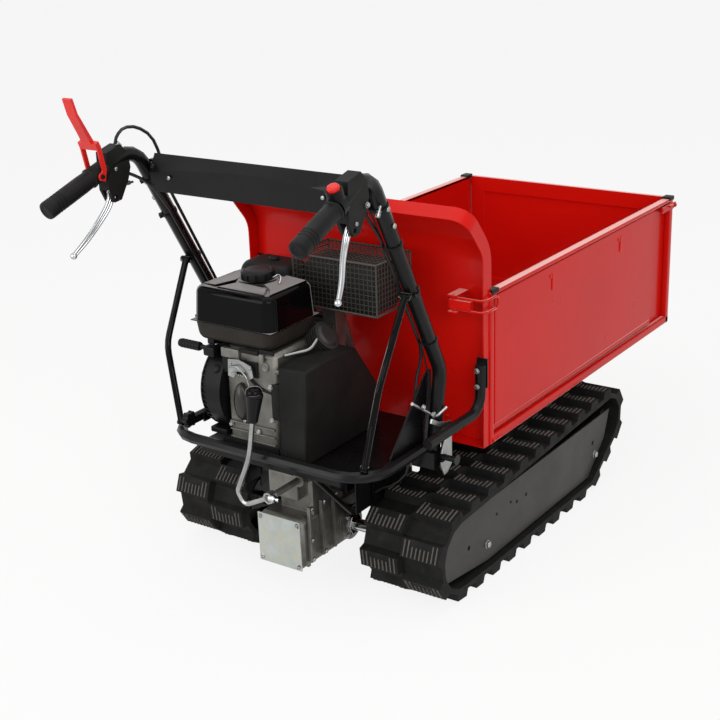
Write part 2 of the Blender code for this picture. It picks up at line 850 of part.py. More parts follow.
def roller_places():
    """The rollers' places along the ground run."""
    step = (ROLLER_FRONT_Y - ROLLER_REAR_Y) / (ROLLERS - 1)
    return [ROLLER_REAR_Y + k * step for k in range(ROLLERS)]


def rollers(side_name, side):
    """The bottom rollers that carry the weight on the belt."""
    reach = SIDE_PLATE_X + SIDE_PLATE_THICK
    for number, y in enumerate(roller_places(), 1):
        name = f"track_roller_{side_name}_{number}"
        radius = ROLLER_RADIUS - RUNNING_GAP * 2
        spool(name, side, y, ROLLER_Z, radius, ROLLER_HALF_WIDTH, ROLLER_SHAFT_RADIUS, reach)


def side_plate_outline():
    """The outline of a track frame's side plate in (y, z), clear of the belt all round."""
    return [
        (SPROCKET_Y - 0.033, SPROCKET_Z - 0.016),
        (SPROCKET_Y - 0.033, SPROCKET_Z + 0.018),
        (SPROCKET_Y - 0.005, SPROCKET_Z + 0.040),
        (IDLER_Y - 0.034, IDLER_Z + 0.016),
        (IDLER_Y + 0.020, IDLER_Z + 0.016),
        (IDLER_Y + 0.025, IDLER_Z - 0.008),
        (IDLER_Y + 0.011, IDLER_Z - 0.029),
        (ROLLER_FRONT_Y + 0.013, SIDE_PLATE_Z_LOW),
        (ROLLER_REAR_Y - 0.030, SIDE_PLATE_Z_LOW),
        (SPROCKET_Y + 0.022, SPROCKET_Z - 0.030),
    ]


def side_plate_holes():
    """The holes for the shafts that the side plates carry."""
    holes = [
        (SPROCKET_Y, SPROCKET_Z, AXLE_RADIUS + RUNNING_GAP),
        (IDLER_Y, IDLER_Z, IDLER_SHAFT_RADIUS + GAP),
    ]
    return holes + [(y, ROLLER_Z, ROLLER_SHAFT_RADIUS + GAP) for y in roller_places()]


def track_frame(side):
    """Helper shapes of one side's track frame: two side plates, the beam and the cover's bosses."""
    shapes = []
    for near in (-SIDE_PLATE_X - SIDE_PLATE_THICK, SIDE_PLATE_X):
        x0, x1 = sorted((side * (TRACK_X + near), side * (TRACK_X + near + SIDE_PLATE_THICK)))
        shapes.append(plate("X", x0, x1, side_plate_outline(), side_plate_holes()))
    near, far = TRACK_X - SIDE_PLATE_X - OVERLAP, TRACK_X + SIDE_PLATE_X + OVERLAP
    rear = SPROCKET_Y + SPROCKET_RADIUS + 0.015
    front = IDLER_Y - IDLER_RADIUS - 0.015
    shapes.append(span(side, near, far, (rear, SIDE_BEAM_Z_LOW), (front, SIDE_BEAM_Z_HIGH)))
    outer = TRACK_X + SIDE_PLATE_X + SIDE_PLATE_THICK / 2
    x0, x1 = sorted((side * outer, side * (COVER_X - GAP)))
    for y, z in cover_bolts():
        shapes.append(rod("X", x0, x1, (y, z), COVER_BOSS_RADIUS, 8))
    return shapes


def cover_bolts():
    """The places of the two bolts of an outer track cover."""
    return [(COVER_BOLT_REAR_Y, COVER_BOLT_REAR_Z), (COVER_BOLT_FRONT_Y, COVER_BOLT_FRONT_Z)]


def track_cover(side_name, side):
    """The outer cover: a flat plate just inside the belt's edge."""
    low = GROUND_INNER + 0.006
    start, sweep = math.radians(98), math.radians(130)
    rear = circle(SPROCKET_Y, SPROCKET_Z, SPROCKET_RADIUS - 0.006, 8, start, sweep)
    outline = rear + [
        (ROLLER_REAR_Y, low),
        (ROLLER_FRONT_Y + 0.008, low),
        (IDLER_Y - 0.002, IDLER_Z - 0.044),
        (IDLER_Y + 0.022, IDLER_Z + 0.018),
        (IDLER_Y - 0.060, IDLER_Z + 0.019),
    ]
    x0, x1 = sorted((side * COVER_X, side * (COVER_X + COVER_THICK)))
    holes = [(y, z, COVER_BOLT_RADIUS) for y, z in cover_bolts()]
    middle = (SPROCKET_Y + IDLER_Y) / 2
    holes += [(middle - 0.092, 0.112, 0.004), (middle - 0.052, 0.112, 0.004)]
    return piece(f"track_cover_{side_name}", COVER_PAINT, plate("X", x0, x1, outline, holes))


def chassis_frame():
    """Rails, cross tubes, both track frames, the handlebar beam and the tipping shaft."""
    shaft = rod("X", -PIVOT_SHAFT_HALF, PIVOT_SHAFT_HALF, (PIVOT_Y, PIVOT_Z), PIVOT_SHAFT_RADIUS)
    adds = []
    half = RAIL_SIZE / 2
    for side in SIDES.values():
        low, high = (RAIL_REAR_Y, RAIL_Z - half), (PIVOT_Y, RAIL_TOP)
        adds.append(span(side, RAIL_X - half, RAIL_X + half, low, high))
        x0, x1 = sorted((side * (RAIL_X - half), side * (RAIL_X + half)))
        adds.append(rod("X", x0, x1, (PIVOT_Y, PIVOT_Z), half - GAP))
        adds += chassis_posts(side) + track_frame(side)
    reach = TRACK_X - SIDE_PLATE_X - OVERLAP
    size = CROSS_TUBE_SIZE / 2
    for y in CROSS_TUBE_Y:
        low = (-reach, y - size, CROSS_TUBE_Z - size)
        adds.append(box(low, (reach, y + size, CROSS_TUBE_Z + size)))
    low = (-BEAM_HALF, BEAM_Y - BEAM_DEPTH / 2, BEAM_TOP - BEAM_HEIGHT)
    adds.append(box(low, (BEAM_HALF, BEAM_Y + BEAM_DEPTH / 2, BEAM_TOP)))
    pin = (LATCH_PIN_Y, LATCH_PIN_Z)
    adds.append(rod("X", BEAM_HALF - 0.004, LATCH_PIN_END, pin, LATCH_PIN_RADIUS))
    adds.append(rod("X", LATCH_PIN_END - 0.003, LATCH_PIN_END, pin, LATCH_PIN_RADIUS * 1.8))
    return piece("chassis_frame", BLACK_PAINT, shaft, adds)


def chassis_posts(side):
    """The uprights from the rails: webs down to the cross tubes, posts and risers up to the deck."""
    half = WEB_SIZE / 2
    shapes = []
    for y in CROSS_TUBE_Y:
        low, high = (y - half, CROSS_TUBE_Z), (y + half, RAIL_Z)
        shapes.append(span(side, RAIL_X - half, RAIL_X + half, low, high))
    low, high = (POST_Y - POST_SIZE / 2, RAIL_Z), (POST_Y + POST_SIZE / 2, BEAM_TOP)
    shapes.append(span(side, RAIL_X - POST_SIZE / 2, RAIL_X + POST_SIZE / 2, low, high))
    low, high = (BEAM_Y - half, RAIL_Z), (BEAM_Y + half, BEAM_TOP - BEAM_HEIGHT / 2)
    shapes.append(span(side, RAIL_X - half, RAIL_X + half, low, high))
    outer = GUARD_HALF - GUARD_RADIUS - GAP
    x0, x1 = sorted((side * (outer - GUSSET_THICK), side * outer))
    front = BAR_KNEE[1] + 0.005
    outline = [
        (GUSSET_REAR_Y, BEAM_TOP + 0.002),
        (GUSSET_REAR_Y, BEAM_TOP + 0.022),
        (BAR_KNEE[1] - 0.012, GUSSET_TOP_Z),
        (front, GUSSET_TOP_Z),
        (front, BEAM_TOP - BEAM_HEIGHT / 2),
        (BEAM_Y - BEAM_DEPTH / 2 + 0.002, BEAM_TOP - BEAM_HEIGHT / 2),
        (BEAM_Y - BEAM_DEPTH / 2 + 0.002, BEAM_TOP + 0.002),
    ]
    shapes.append(plate("X", x0, x1, outline))
    return shapes


def engine_deck():
    """The folded plate that carries the engine and hangs the gearbox."""
    outline = [
        (DECK_LEFT, DECK_REAR),
        (DECK_RIGHT - DECK_CORNER[0], DECK_REAR),
        (DECK_RIGHT, DECK_REAR + DECK_CORNER[1]),
        (DECK_RIGHT, DECK_FRONT_Y),
        (DECK_LEFT, DECK_FRONT_Y),
    ]
    base = plate("Z", DECK_TOP - DECK_THICK, DECK_TOP, outline)
    lip = box(
        (DECK_LEFT, DECK_REAR, DECK_TOP - DECK_LIP),
        (DECK_RIGHT - DECK_CORNER[0], DECK_REAR + DECK_THICK, DECK_TOP),
    )
    return piece("engine_deck", BLACK_PAINT, base, [lip])


def deck_guard():
    """The round bar that guards the engine's rear and sides."""
    front = BAR_FOOT[1] - BAR_RADIUS - 0.003
    corners = [
        (-GUARD_HALF, front, GUARD_Z),
        (-GUARD_HALF, GUARD_Y, GUARD_Z),
        (GUARD_HALF, GUARD_Y, GUARD_Z),
        (GUARD_HALF, front, GUARD_Z),
    ]
    return piece("deck_guard", BLACK_PAINT, pipe(bent(corners, GUARD_CORNER, 4), GUARD_RADIUS, 2))


def guard_corner(side):
    """The middle of the guard's corner, where a strut stands."""
    inset = GUARD_CORNER * (1 - math.sqrt(0.5))
    return Vector((side * (GUARD_HALF - inset), GUARD_Y + inset, GUARD_Z))


def bar_path(side, radius_steps=4):
    """The centre line of a handlebar."""
    corners = [
        (side * BAR_FOOT[0], BAR_FOOT[1], BAR_FOOT_Z),
        (side * BAR_KNEE[0], *BAR_KNEE[1:]),
        (side * BAR_TOP[0], *BAR_TOP[1:]),
        (side * BAR_END[0], *BAR_END[1:]),
    ]
    path = bent(corners, [BAR_KNEE_BEND, BAR_TOP_BEND], radius_steps)
    path.insert(1, path[0] + Vector((0, 0, BAR_FOOT_UPRIGHT)))
    return path


def bar_axis(side):
    """Where the grip end of a handlebar is, and its direction rearwards."""
    end = Vector((side * BAR_END[0], *BAR_END[1:]))
    top = Vector((side * BAR_TOP[0], *BAR_TOP[1:]))
    return end, (end - top).normalized()


def bar_at(side, y):
    """The handlebar's centre on its straight grip end, at this y."""
    end, heading = bar_axis(side)
    return end + heading * ((y - end.y) / heading.y)


def handlebar(side_name, side):
    """A bent handlebar, from the deck beam up to the grip."""
    path = bar_path(side)
    heading = bar_axis(side)[1]
    path[-1] = path[-1] - heading * (GRIP_CAP + GAP)
    return piece(f"handlebar_{side_name}", BLACK_PAINT, pipe(path, BAR_RADIUS, 2))


def grip(side_name, side):
    """A rubber grip with a flange and a closed end."""
    end, heading = bar_axis(side)
    start = end - heading * GRIP_LENGTH
    flange = GRIP_RADIUS + GRIP_FLANGE
    profile = [
        (0, GRIP_LENGTH),
        (GRIP_RADIUS - GRIP_FLANGE, GRIP_LENGTH),
        (GRIP_RADIUS, GRIP_LENGTH - GRIP_FLANGE),
        (GRIP_RADIUS, 0.004),
        (flange, 0.003),
        (flange, 0),
        (0, 0),
    ]
    base = turned("Z", (0, 0, 0), profile, 14)
    turn = heading.to_track_quat("Z", "Y").to_matrix().to_4x4()
    base.data.transform(Matrix.Translation(start) @ turn)
    path = bar_path(side)
    path[-1] = end - heading * GRIP_CAP
    hole = pipe(path, BAR_RADIUS + GAP, 2)
    return piece(f"grip_{side_name}", GRIP_RUBBER, base, (), [hole], origin=start)


def strut(side_name, side):
    """A thin bar that props the handlebar from the guard's corner."""
    foot = Vector((side * BAR_KNEE[0], *BAR_KNEE[1:]))
    top = Vector((side * BAR_TOP[0], *BAR_TOP[1:]))
    along = (top - foot).normalized()
    centre = foot + along * ((STRUT_TOP_Z - foot.z) / along.z)
    outward = Vector((0, along.z, -along.y))
    if outward.y > 0:
        outward = -outward
    upper = centre + outward * (BAR_RADIUS + GAP + STRUT_RADIUS)
    lower = guard_corner(side) + Vector((0, 0, GUARD_RADIUS + GAP + STRUT_RADIUS))
    bend = Vector((side * STRUT_BEND[0], *STRUT_BEND[1:]))
    path = bent([upper, bend, lower], 0.09, 3)
    base = pipe(path, STRUT_RADIUS, 2)
    x0, x1 = sorted((side * (abs(upper.x) - 0.010), side * (abs(upper.x) + 0.010)))
    tab = rod("X", x0, x1, (upper.y, upper.z), STRUT_RADIUS, 10)
    x0, x1 = lower.x - STRUT_RADIUS, lower.x + STRUT_RADIUS
    foot_tab = rod("X", x0, x1, (lower.y, lower.z), STRUT_RADIUS, 10)
    return piece(f"strut_{side_name}", BLACK_PAINT, base, [tab, foot_tab])


def strip(points, widths):
    """The outline of a flat bar along points, with a width at each."""
    left, right = [], []
    for k, ((u, v), width) in enumerate(zip(points, widths)):
        before, after = points[max(k - 1, 0)], points[min(k + 1, len(points) - 1)]
        angle = math.atan2(after[1] - before[1], after[0] - before[0]) + math.pi / 2
        du, dv = math.cos(angle) * width / 2, math.sin(angle) * width / 2
        left.append((u + du, v + dv))
        right.append((u - du, v - dv))
    return left + right[::-1]


def offset_outline(points, inset):
    """A counter-clockwise outline moved inwards by a distance."""
    moved = []
    for k, (u, v) in enumerate(points):
        before, after = points[k - 1], points[(k + 1) % len(points)]
        a = Vector((u - before[0], v - before[1])).normalized()
        b = Vector((after[0] - u, after[1] - v)).normalized()
        normal = Vector((-a.y - b.y, a.x + b.x)).normalized()
        reach = inset / max(normal.dot(Vector((-a.y, a.x))), 0.3)
        moved.append((u + normal.x * reach, v + normal.y * reach))
    return moved


def bar_cutter(side):
    """A cutter that clears the handlebar."""
    return pipe(bar_path(side), BAR_RADIUS + GAP, 2)


def lever_bracket(side_name, side):
    """The housing on the bar that holds a steering lever and the cable ends."""
    centre = bar_at(side, BRACKET_Y)
    outline = [
        (-0.026, 0.022),
        (-0.026, -0.048),
        (-0.014, -LEVER_PIVOT_DROP - 0.010),
        (0.004, -LEVER_PIVOT_DROP - 0.008),
        (0.026, -0.036),
        (0.034, -0.014),
        (0.030, 0.014),
        (0.012, 0.032),
    ]
    points = [(centre.y + u, centre.z + v) for u, v in outline]
    half = BRACKET_THICK / 2
    base = plate("X", centre.x - half, centre.x + half, points)
    adds = []
    cuts = [bar_cutter(side)]
    slot = LEVER_THICK / 2 + RUNNING_GAP
    pivot = lever_pivot(side)
    low = (centre.x - slot, centre.y - 0.040, pivot.z - 0.020)
    cuts.append(box(low, (centre.x + slot, centre.y + 0.006, pivot.z + 0.014)))
    cuts.append(bore("X", centre.x, BRACKET_THICK, pivot.y, pivot.z, LEVER_PIN_RADIUS + GAP, PIN_SIDES))
    if side < 0:
        collar = drive_collar(side)
        adds += collar
    return piece(f"lever_bracket_{side_name}", BLACK_PLASTIC, base, adds, cuts)


def drive_collar(side):
    """The collar and stubs that carry the drive lever, joined to the left bracket."""
    centre, heading = bar_at(side, DRIVE_LEVER_Y), bar_axis(side)[1]
    ring = DRIVE_LEVER_FORK - DRIVE_LEVER_PRONG + RUNNING_GAP
    start = bar_at(side, BRACKET_Y - 0.020)
    sleeve = rod_between(start, centre + heading * 0.008, ring - RUNNING_GAP * 2)
    reach = DRIVE_LEVER_FORK + 0.003
    stub = rod("X", centre.x - reach, centre.x + reach, (centre.y, centre.z), LEVER_PIN_RADIUS, PIN_SIDES)
    return [sleeve, stub]


def lever_pivot(side):
    """The steering lever's pivot."""
    centre = bar_at(side, BRACKET_Y)
    return Vector((centre.x, centre.y - 0.010, centre.z - LEVER_PIVOT_DROP))


def lean(obj, height, amount):
    """Leans a shape in X, more with its depth below a height."""
    for vert in obj.data.vertices:
        vert.co.x += amount * max(height - vert.co.z, 0)


def steering_lever(side_name, side):
    """A curved hand lever that hangs from its bracket, with a ball at the tip."""
    pivot = lever_pivot(side)
    reach, drop = LEVER_TIP
    line = [(0.005, 0.009), (-0.010, -0.018), (-0.030, -0.044), (-0.052, -0.074), (reach, drop)]
    centre_line = [(pivot.y + u, pivot.z + v) for u, v in line]
    half = LEVER_THICK / 2
    outline = strip(centre_line, (0.016, 0.014, 0.010, 0.008, 0.007))
    base = plate("X", pivot.x - half, pivot.x + half, outline)
    lean(base, pivot.z - LEVER_LEAN_START, side * LEVER_LEAN)
    tip_x = pivot.x - side * LEVER_LEAN * (drop + LEVER_LEAN_START)
    tip = ball((tip_x, pivot.y + reach, pivot.z + drop), LEVER_TIP_RADIUS)
    end = BRACKET_THICK / 2 + 0.001
    pin = rod("X", pivot.x - end, pivot.x + end, (pivot.y, pivot.z), LEVER_PIN_RADIUS, PIN_SIDES)
    return piece(f"steering_lever_{side_name}", CHROME, base, [tip, pin], origin=pivot)


def drive_frame():
    """The drive lever's pivot and its own two directions, as the lever stands at rest."""
    pivot = bar_at(-1, DRIVE_LEVER_Y)
    heading = bar_axis(-1)[1]
    pressed = math.atan2(heading.z, heading.y)
    rest = pressed - math.radians(DRIVE_LEVER_TRAVEL)
    return pivot, rest


def drive_point(along, away):
    """A (y, z) point of the drive lever from its own coordinates."""
    pivot, rest = drive_frame()
    u = (math.cos(rest), math.sin(rest))
    n = (math.cos(rest - math.pi / 2), math.sin(rest - math.pi / 2))
    return pivot.y + along * u[0] + away * n[0], pivot.z + along * u[1] + away * n[1]


def drive_lever():
    """The red lever on the left bar that is pressed down on the grip to drive."""
    pivot = drive_frame()[0]
    line = [drive_point(*p) for p in ((-0.006, -0.004), (0.006, 0.012), (0.050, 0.026))]
    outline = strip(line, (0.015, 0.010, 0.010))
    outer, inner = DRIVE_LEVER_FORK, DRIVE_LEVER_FORK - DRIVE_LEVER_PRONG + RUNNING_GAP * 2
    adds, cuts = [], []
    for end in (-1, 1):
        x0, x1 = sorted((pivot.x + end * inner, pivot.x + end * outer))
        adds.append(plate("X", x0, x1, outline))
        adds.append(rod("X", x0, x1, (pivot.y, pivot.z), LEVER_PIN_RADIUS + 0.0035))
    blade = [(0.046, 0.025), (0.075, 0.0265), (0.120, 0.027), (DRIVE_LEVER_LENGTH, 0.034)]
    middle = strip([drive_point(*p) for p in blade], (0.011, 0.008, 0.006, 0.005))
    width = 0.011
    base = plate("X", pivot.x - width, pivot.x + width, middle)
    bridge = strip([drive_point(0.044, 0.0245), drive_point(0.058, 0.0262)], (0.010, 0.010))
    adds.append(plate("X", pivot.x - outer, pivot.x + outer, bridge))
    cuts.append(bore("X", pivot.x, 0.05, pivot.y, pivot.z, LEVER_PIN_RADIUS + GAP, PIN_SIDES))
    return piece("drive_lever", RED_PLASTIC, base, adds, cuts, pivot)


def switch_up():
    """The direction that stands square on the right grip end, upwards."""
    heading = bar_axis(1)[1]
    return Vector((0, heading.z, -heading.y)).normalized()


def stop_switch():
    """The stop switch: a collar with a cup, and the red button in it."""
    centre, heading, up = bar_at(1, SWITCH_Y), bar_axis(1)[1], switch_up()
    cup, floor, brim = BUTTON_RADIUS + 0.003, 0.0235, 0.0305
    base = rod_between(centre - heading * 0.006, centre + heading * 0.010, BAR_RADIUS + SWITCH_COLLAR)
    adds = [rod_between(centre + up * 0.008, centre + up * brim, cup, 20)]
    pocket = rod_between(centre + up * floor, centre + up * 0.05, BUTTON_RADIUS + RUNNING_GAP, 20)
    piece("stop_switch_body", BLACK_PLASTIC, base, adds, [bar_cutter(1), pocket])
    low = centre + up * (floor + BUTTON_TRAVEL + GAP)
    top = low + up * 0.011
    button = rod_between(low, top, BUTTON_RADIUS, 20)
    soften(button, 0.002, 1)
    piece("stop_switch_button", RED_PLASTIC, button, origin=low)


def bar_main_at(side, z):
    """The handlebar's centre on its long sloping run, at this height."""
    foot = Vector((side * BAR_KNEE[0], *BAR_KNEE[1:]))
    top = Vector((side * BAR_TOP[0], *BAR_TOP[1:]))
    return foot + (top - foot) * ((z - foot.z) / (top.z - foot.z))


def control_panel():
    """The folded sheet between the handlebars, with a curved fold and an end tab on each bar."""
    columns, rows = 6, 2
    shape = bmesh.new()
    bmesh.ops.create_grid(shape, x_segments=columns, y_segments=rows, size=1)
    for vert in shape.verts:
        across, row = vert.co.x, round(vert.co.y)
        fold = CONTROL_FOLD_Z + CONTROL_FOLD_RISE * (1 - across * across)
        places = {
            -1: (CONTROL_Y + CONTROL_LOW_SETBACK, CONTROL_LOW_Z),
            0: (CONTROL_Y, fold),
            1: (CONTROL_Y + CONTROL_TOP_SETBACK, CONTROL_TOP_Z),
        }
        y, z = places[row]
        vert.co = (across * CONTROL_HALF, y, z)
    base = helper("panel", mesh_from(shape, "panel"))
    thick = base.modifiers.new("thick", "SOLIDIFY")
    thick.thickness = CONTROL_SHEET
    thick.offset = 0
    adds = []
    tab_z = (CONTROL_LOW_Z + CONTROL_TOP_Z) / 2
    for side in SIDES.values():
        bar = bar_main_at(side, tab_z)
        far = abs(bar.x) - BAR_RADIUS - GAP
        low, high = (CONTROL_Y + 0.004, tab_z - 0.024), (bar.y + 0.008, tab_z + 0.020)
        adds.append(span(side, CONTROL_HALF - 0.003, CONTROL_HALF, low, high))
        low, high = (bar.y - 0.004, tab_z - 0.024), (bar.y + 0.008, tab_z + 0.020)
        adds.append(span(side, CONTROL_HALF - 0.003, far, low, high))
    return piece("control_panel", BLACK_PAINT, base, adds)


def tilted(obj, centre, angle):
    """Turns a shape about the X direction through a point, +Y towards +Z."""
    centre = Vector(centre)
    turn = Matrix.Rotation(angle, 4, "X")
    obj.data.transform(Matrix.Translation(centre) @ turn @ Matrix.Translation(-centre))
    return obj


def engine_block():
    """Crankcase, feet, finned cylinder, head cover, manifolds and the output shaft."""
    foot = DECK_TOP + GAP
    low = (CRANKCASE_LEFT, CRANKCASE_REAR, foot + FOOT_HEIGHT / 2)
    base = box(low, (CRANKCASE_RIGHT, CRANKCASE_FRONT, CRANKCASE_TOP), 0.008, 1)
    adds = []
    for y in (CRANKCASE_REAR, CRANKCASE_FRONT - 0.030):
        low = (CRANKCASE_LEFT - 0.012 + OVERLAP, y, foot)
        adds.append(box(low, (CRANKCASE_RIGHT + 0.008, y + 0.030, foot + FOOT_HEIGHT)))
    middle = (CRANKCASE_LEFT + CRANKCASE_RIGHT) / 2
    hinge = (middle, CRANKCASE_FRONT - 0.035, CRANK_Z + CYLINDER_RISE)
    half = CYLINDER_WIDTH / 2
    start, end = hinge[1], hinge[1] + CYLINDER_LENGTH
    core = half - 0.013
    low = (middle - core, start, hinge[2] - core)
    adds.append(tilted(box(low, (middle + core, end, hinge[2] + core)), hinge, CYLINDER_TILT))
    first, last = start + 0.062, end - 0.034
    for k in range(FINS):
        y = first + (last - first) * k / (FINS - 1)
        low = (middle - half, y, hinge[2] - half)
        fin = box(low, (middle + half, y + FIN_THICK, hinge[2] + half))
        adds.append(tilted(fin, hinge, CYLINDER_TILT))
    low = (middle - half + 0.006, end - 0.024, hinge[2] - half + 0.006)
    head = box(low, (middle + half - 0.006, end, hinge[2] + half - 0.006), 0.008, 1)
    adds.append(tilted(head, hinge, CYLINDER_TILT))
    low = (middle - half, MANIFOLD_Y, hinge[2])
    high = (middle - half + MANIFOLD_SIZE, MANIFOLD_Y + MANIFOLD_SIZE, FILTER_BOTTOM - GAP)
    adds.append(box(low, high))
    low = (middle + half - MANIFOLD_SIZE, MANIFOLD_Y, hinge[2])
    high = (middle + half, MANIFOLD_Y + MANIFOLD_SIZE, MUFFLER_BOTTOM - GAP)
    adds.append(box(low, high))
    shaft = rod("X", CRANKCASE_RIGHT - 0.01, COVER_RIGHT - 0.020, (CRANK_Y, CRANK_Z), 0.0125)
    pulley = rod("X", COVER_RIGHT - 0.042, COVER_RIGHT - 0.022, (CRANK_Y, CRANK_Z), 0.032)
    ring = rod("X", CRANKCASE_RIGHT - 0.004, CRANKCASE_RIGHT + 0.006, (CRANK_Y, CRANK_Z), 0.045)
    return piece("engine_block", ALUMINIUM, base, adds + [shaft, pulley, ring])


def fuel_tank():
    """A hollow pressed tank with a seam flange and a filler neck, on a small frame."""
    low = (TANK_LEFT, TANK_REAR, TANK_BOTTOM)
    base = box(low, (TANK_RIGHT, TANK_FRONT, TANK_TOP), 0.022, 2)
    seam = TANK_BOTTOM + 0.014
    low = (TANK_LEFT - TANK_FLANGE, TANK_REAR - TANK_FLANGE, seam)
    adds = [box(low, (TANK_RIGHT + TANK_FLANGE, TANK_FRONT + 0.002, seam + 0.003), 0.001)]
    neck = (CAP_X, CAP_Y)
    adds.append(rod("Z", TANK_TOP - 0.006, TANK_TOP + NECK_HEIGHT, neck, NECK_RADIUS))
    frame_low = CRANKCASE_TOP + GAP
    low = (TANK_LEFT + 0.020, TANK_REAR + 0.012, frame_low)
    adds.append(box(low, (CRANKCASE_RIGHT - 0.006, TANK_FRONT - 0.012, frame_low + 0.005)))
    for x in (TANK_LEFT + 0.020, CRANKCASE_RIGHT - 0.022):
        for y in (TANK_REAR + 0.012, TANK_FRONT - 0.026):
            adds.append(box((x, y, frame_low), (x + 0.016, y + 0.014, TANK_BOTTOM + 0.008)))
    wall = TANK_WALL
    low = (TANK_LEFT + wall, TANK_REAR + wall, TANK_BOTTOM + wall)
    high = (TANK_RIGHT - wall, TANK_FRONT - wall, TANK_TOP - wall)
    cuts = [box(low, high, 0.019, 1)]
    cuts.append(rod("Z", TANK_TOP - 0.02, TANK_TOP + 0.02, neck, NECK_RADIUS - 0.003))
    return piece("fuel_tank", GLOSS_BLACK, base, adds, cuts)


def fuel_cap():
    """A round cap with finger notches, over the filler neck."""
    seat = TANK_TOP + GAP
    top = TANK_TOP + CAP_HEIGHT
    base = rod("Z", seat, top, (CAP_X, CAP_Y), CAP_RADIUS, 18)
    soften(base, 0.003, 1)
    cuts = [bore("Z", seat, NECK_HEIGHT + GAP, CAP_X, CAP_Y, NECK_RADIUS + GAP)]
    for k in range(CAP_NOTCHES):
        angle = 2 * math.pi * (k + 0.5) / CAP_NOTCHES
        x = CAP_X + CAP_RADIUS * 1.12 * math.cos(angle)
        y = CAP_Y + CAP_RADIUS * 1.12 * math.sin(angle)
        cuts.append(rod("Z", seat + 0.006, top + 0.01, (x, y), CAP_RADIUS * 0.2, 6))
    return piece("fuel_cap", BLACK_PLASTIC, base, (), cuts, (CAP_X, CAP_Y, seat))


def recoil_housing():
    """The round starter and fan housing on the engine's left side, with vents and a rope guide."""
    near = CRANKCASE_LEFT - GAP
    far = near - RECOIL_DEPTH
    r = RECOIL_RADIUS
    profile = [
        (0, near),
        (r, near),
        (r, far + 0.018),
        (r - 0.006, far + 0.008),
        (r - 0.020, far),
        (0.040, far),
        (0.034, far - 0.006),
        (0, far - 0.006),
    ]
    base = turned("X", (0, CRANK_Y, CRANK_Z), profile, 18)
    cuts = []
    for k in range(RECOIL_VENTS):
        angle = 2 * math.pi * (k + 0.5) / RECOIL_VENTS
        y, z = CRANK_Y + 0.056 * math.cos(angle), CRANK_Z + 0.056 * math.sin(angle)
        cuts.append(rod("X", far - 0.01, far + 0.010, (y, z), 0.0100, 6))
    x = recoil_grip_x()
    low = (x - 0.012, recoil_rest_y(), RECOIL_GRIP_Z - 0.012)
    adds = [box(low, (near - 0.012, CRANK_Y - 0.010, RECOIL_GRIP_Z + 0.006), 0.003)]
    cuts.append(bore("Y", CRANK_Y - 0.06, 0.04, x, RECOIL_GRIP_Z, 0.0035, PIN_SIDES))
    return piece("recoil_housing", BLACK_PAINT, base, adds, cuts)


def recoil_grip_x():
    """The rope guide's place across the machine."""
    return CRANKCASE_LEFT - RECOIL_DEPTH + 0.010


def recoil_rest_y():
    """The rope guide's mouth, where the starter grip rests."""
    return RECOIL_GRIP_Y + 0.014


def recoil_grip():
    """The starter's T grip, with the rope's end in the guide."""
    x = recoil_grip_x()
    place = (RECOIL_GRIP_Y, RECOIL_GRIP_Z)
    base = rod("X", x - RECOIL_GRIP_HALF, x + RECOIL_GRIP_HALF, place, 0.0075, 10)
    soften(base, 0.003, 1)
    neck = rod("Y", RECOIL_GRIP_Y, recoil_rest_y() - GAP, (x, RECOIL_GRIP_Z), 0.006, PIN_SIDES)
    rope = rod("Y", RECOIL_GRIP_Y, recoil_rest_y() + 0.025, (x, RECOIL_GRIP_Z), 0.002, 6)
    return piece(
        "recoil_grip", BLACK_PLASTIC, base, [neck, rope], origin=(x, RECOIL_GRIP_Y, RECOIL_GRIP_Z)
    )


def air_filter_cover():
    """The air filter's box and lid beside the tank, seated on the inlet manifold."""
    low = (FILTER_LEFT, FILTER_REAR, FILTER_BOTTOM)
    base = box(low, (FILTER_RIGHT, FILTER_FRONT, FILTER_TOP), 0.016, 2)
    rim = FILTER_BOTTOM + 0.030
    low = (FILTER_LEFT - 0.003, FILTER_REAR - 0.003, rim)
    lid = box(low, (FILTER_RIGHT + 0.003, FILTER_FRONT + 0.003, rim + 0.005), 0.002)
    return piece("air_filter_cover", BLACK_PLASTIC, base, [lid])


def muffler():
    """The silencer's can on the exhaust manifold, with a seam and a short outlet."""
    low = (MUFFLER_LEFT, MUFFLER_REAR, MUFFLER_BOTTOM)
    base = box(low, (MUFFLER_RIGHT, MUFFLER_FRONT, MUFFLER_TOP), 0.018, 2)
    middle = (MUFFLER_BOTTOM + MUFFLER_TOP) / 2
    low = (MUFFLER_LEFT - 0.003, MUFFLER_REAR - 0.003, middle)
    seam = box(low, (MUFFLER_RIGHT + 0.003, MUFFLER_FRONT + 0.003, middle + 0.003))
    return piece("muffler", MUFFLER_BLACK, base, [seam])


def cells(axis, low, high, first, second):
    """One cutter of many square bars that pierce a wall along an axis."""
    shape = bmesh.new()
    u_axis, v_axis = [a for a in range(3) if a != "XYZ".index(axis)]
    hole = CAGE_PITCH - CAGE_BAR
    for u in first:
        for v in second:
            made = bmesh.ops.create_cube(shape, size=1)["verts"]
            size = [hole, hole, hole]
            size["XYZ".index(axis)] = high - low
            middle = [0, 0, 0]
            middle["XYZ".index(axis)] = (low + high) / 2
            middle[u_axis], middle[v_axis] = u, v
            bmesh.ops.scale(shape, vec=size, verts=made)
            bmesh.ops.translate(shape, vec=middle, verts=made)
    return helper("cells", mesh_from(shape, "cells"))


def steps(low, high, pitch):
    """Evenly spaced places that leave at least a bar's width at both ends."""
    count = int((high - low - CAGE_BAR) / pitch)
    start = (low + high) / 2 - pitch * (count - 1) / 2
    return [start + pitch * k for k in range(count)]


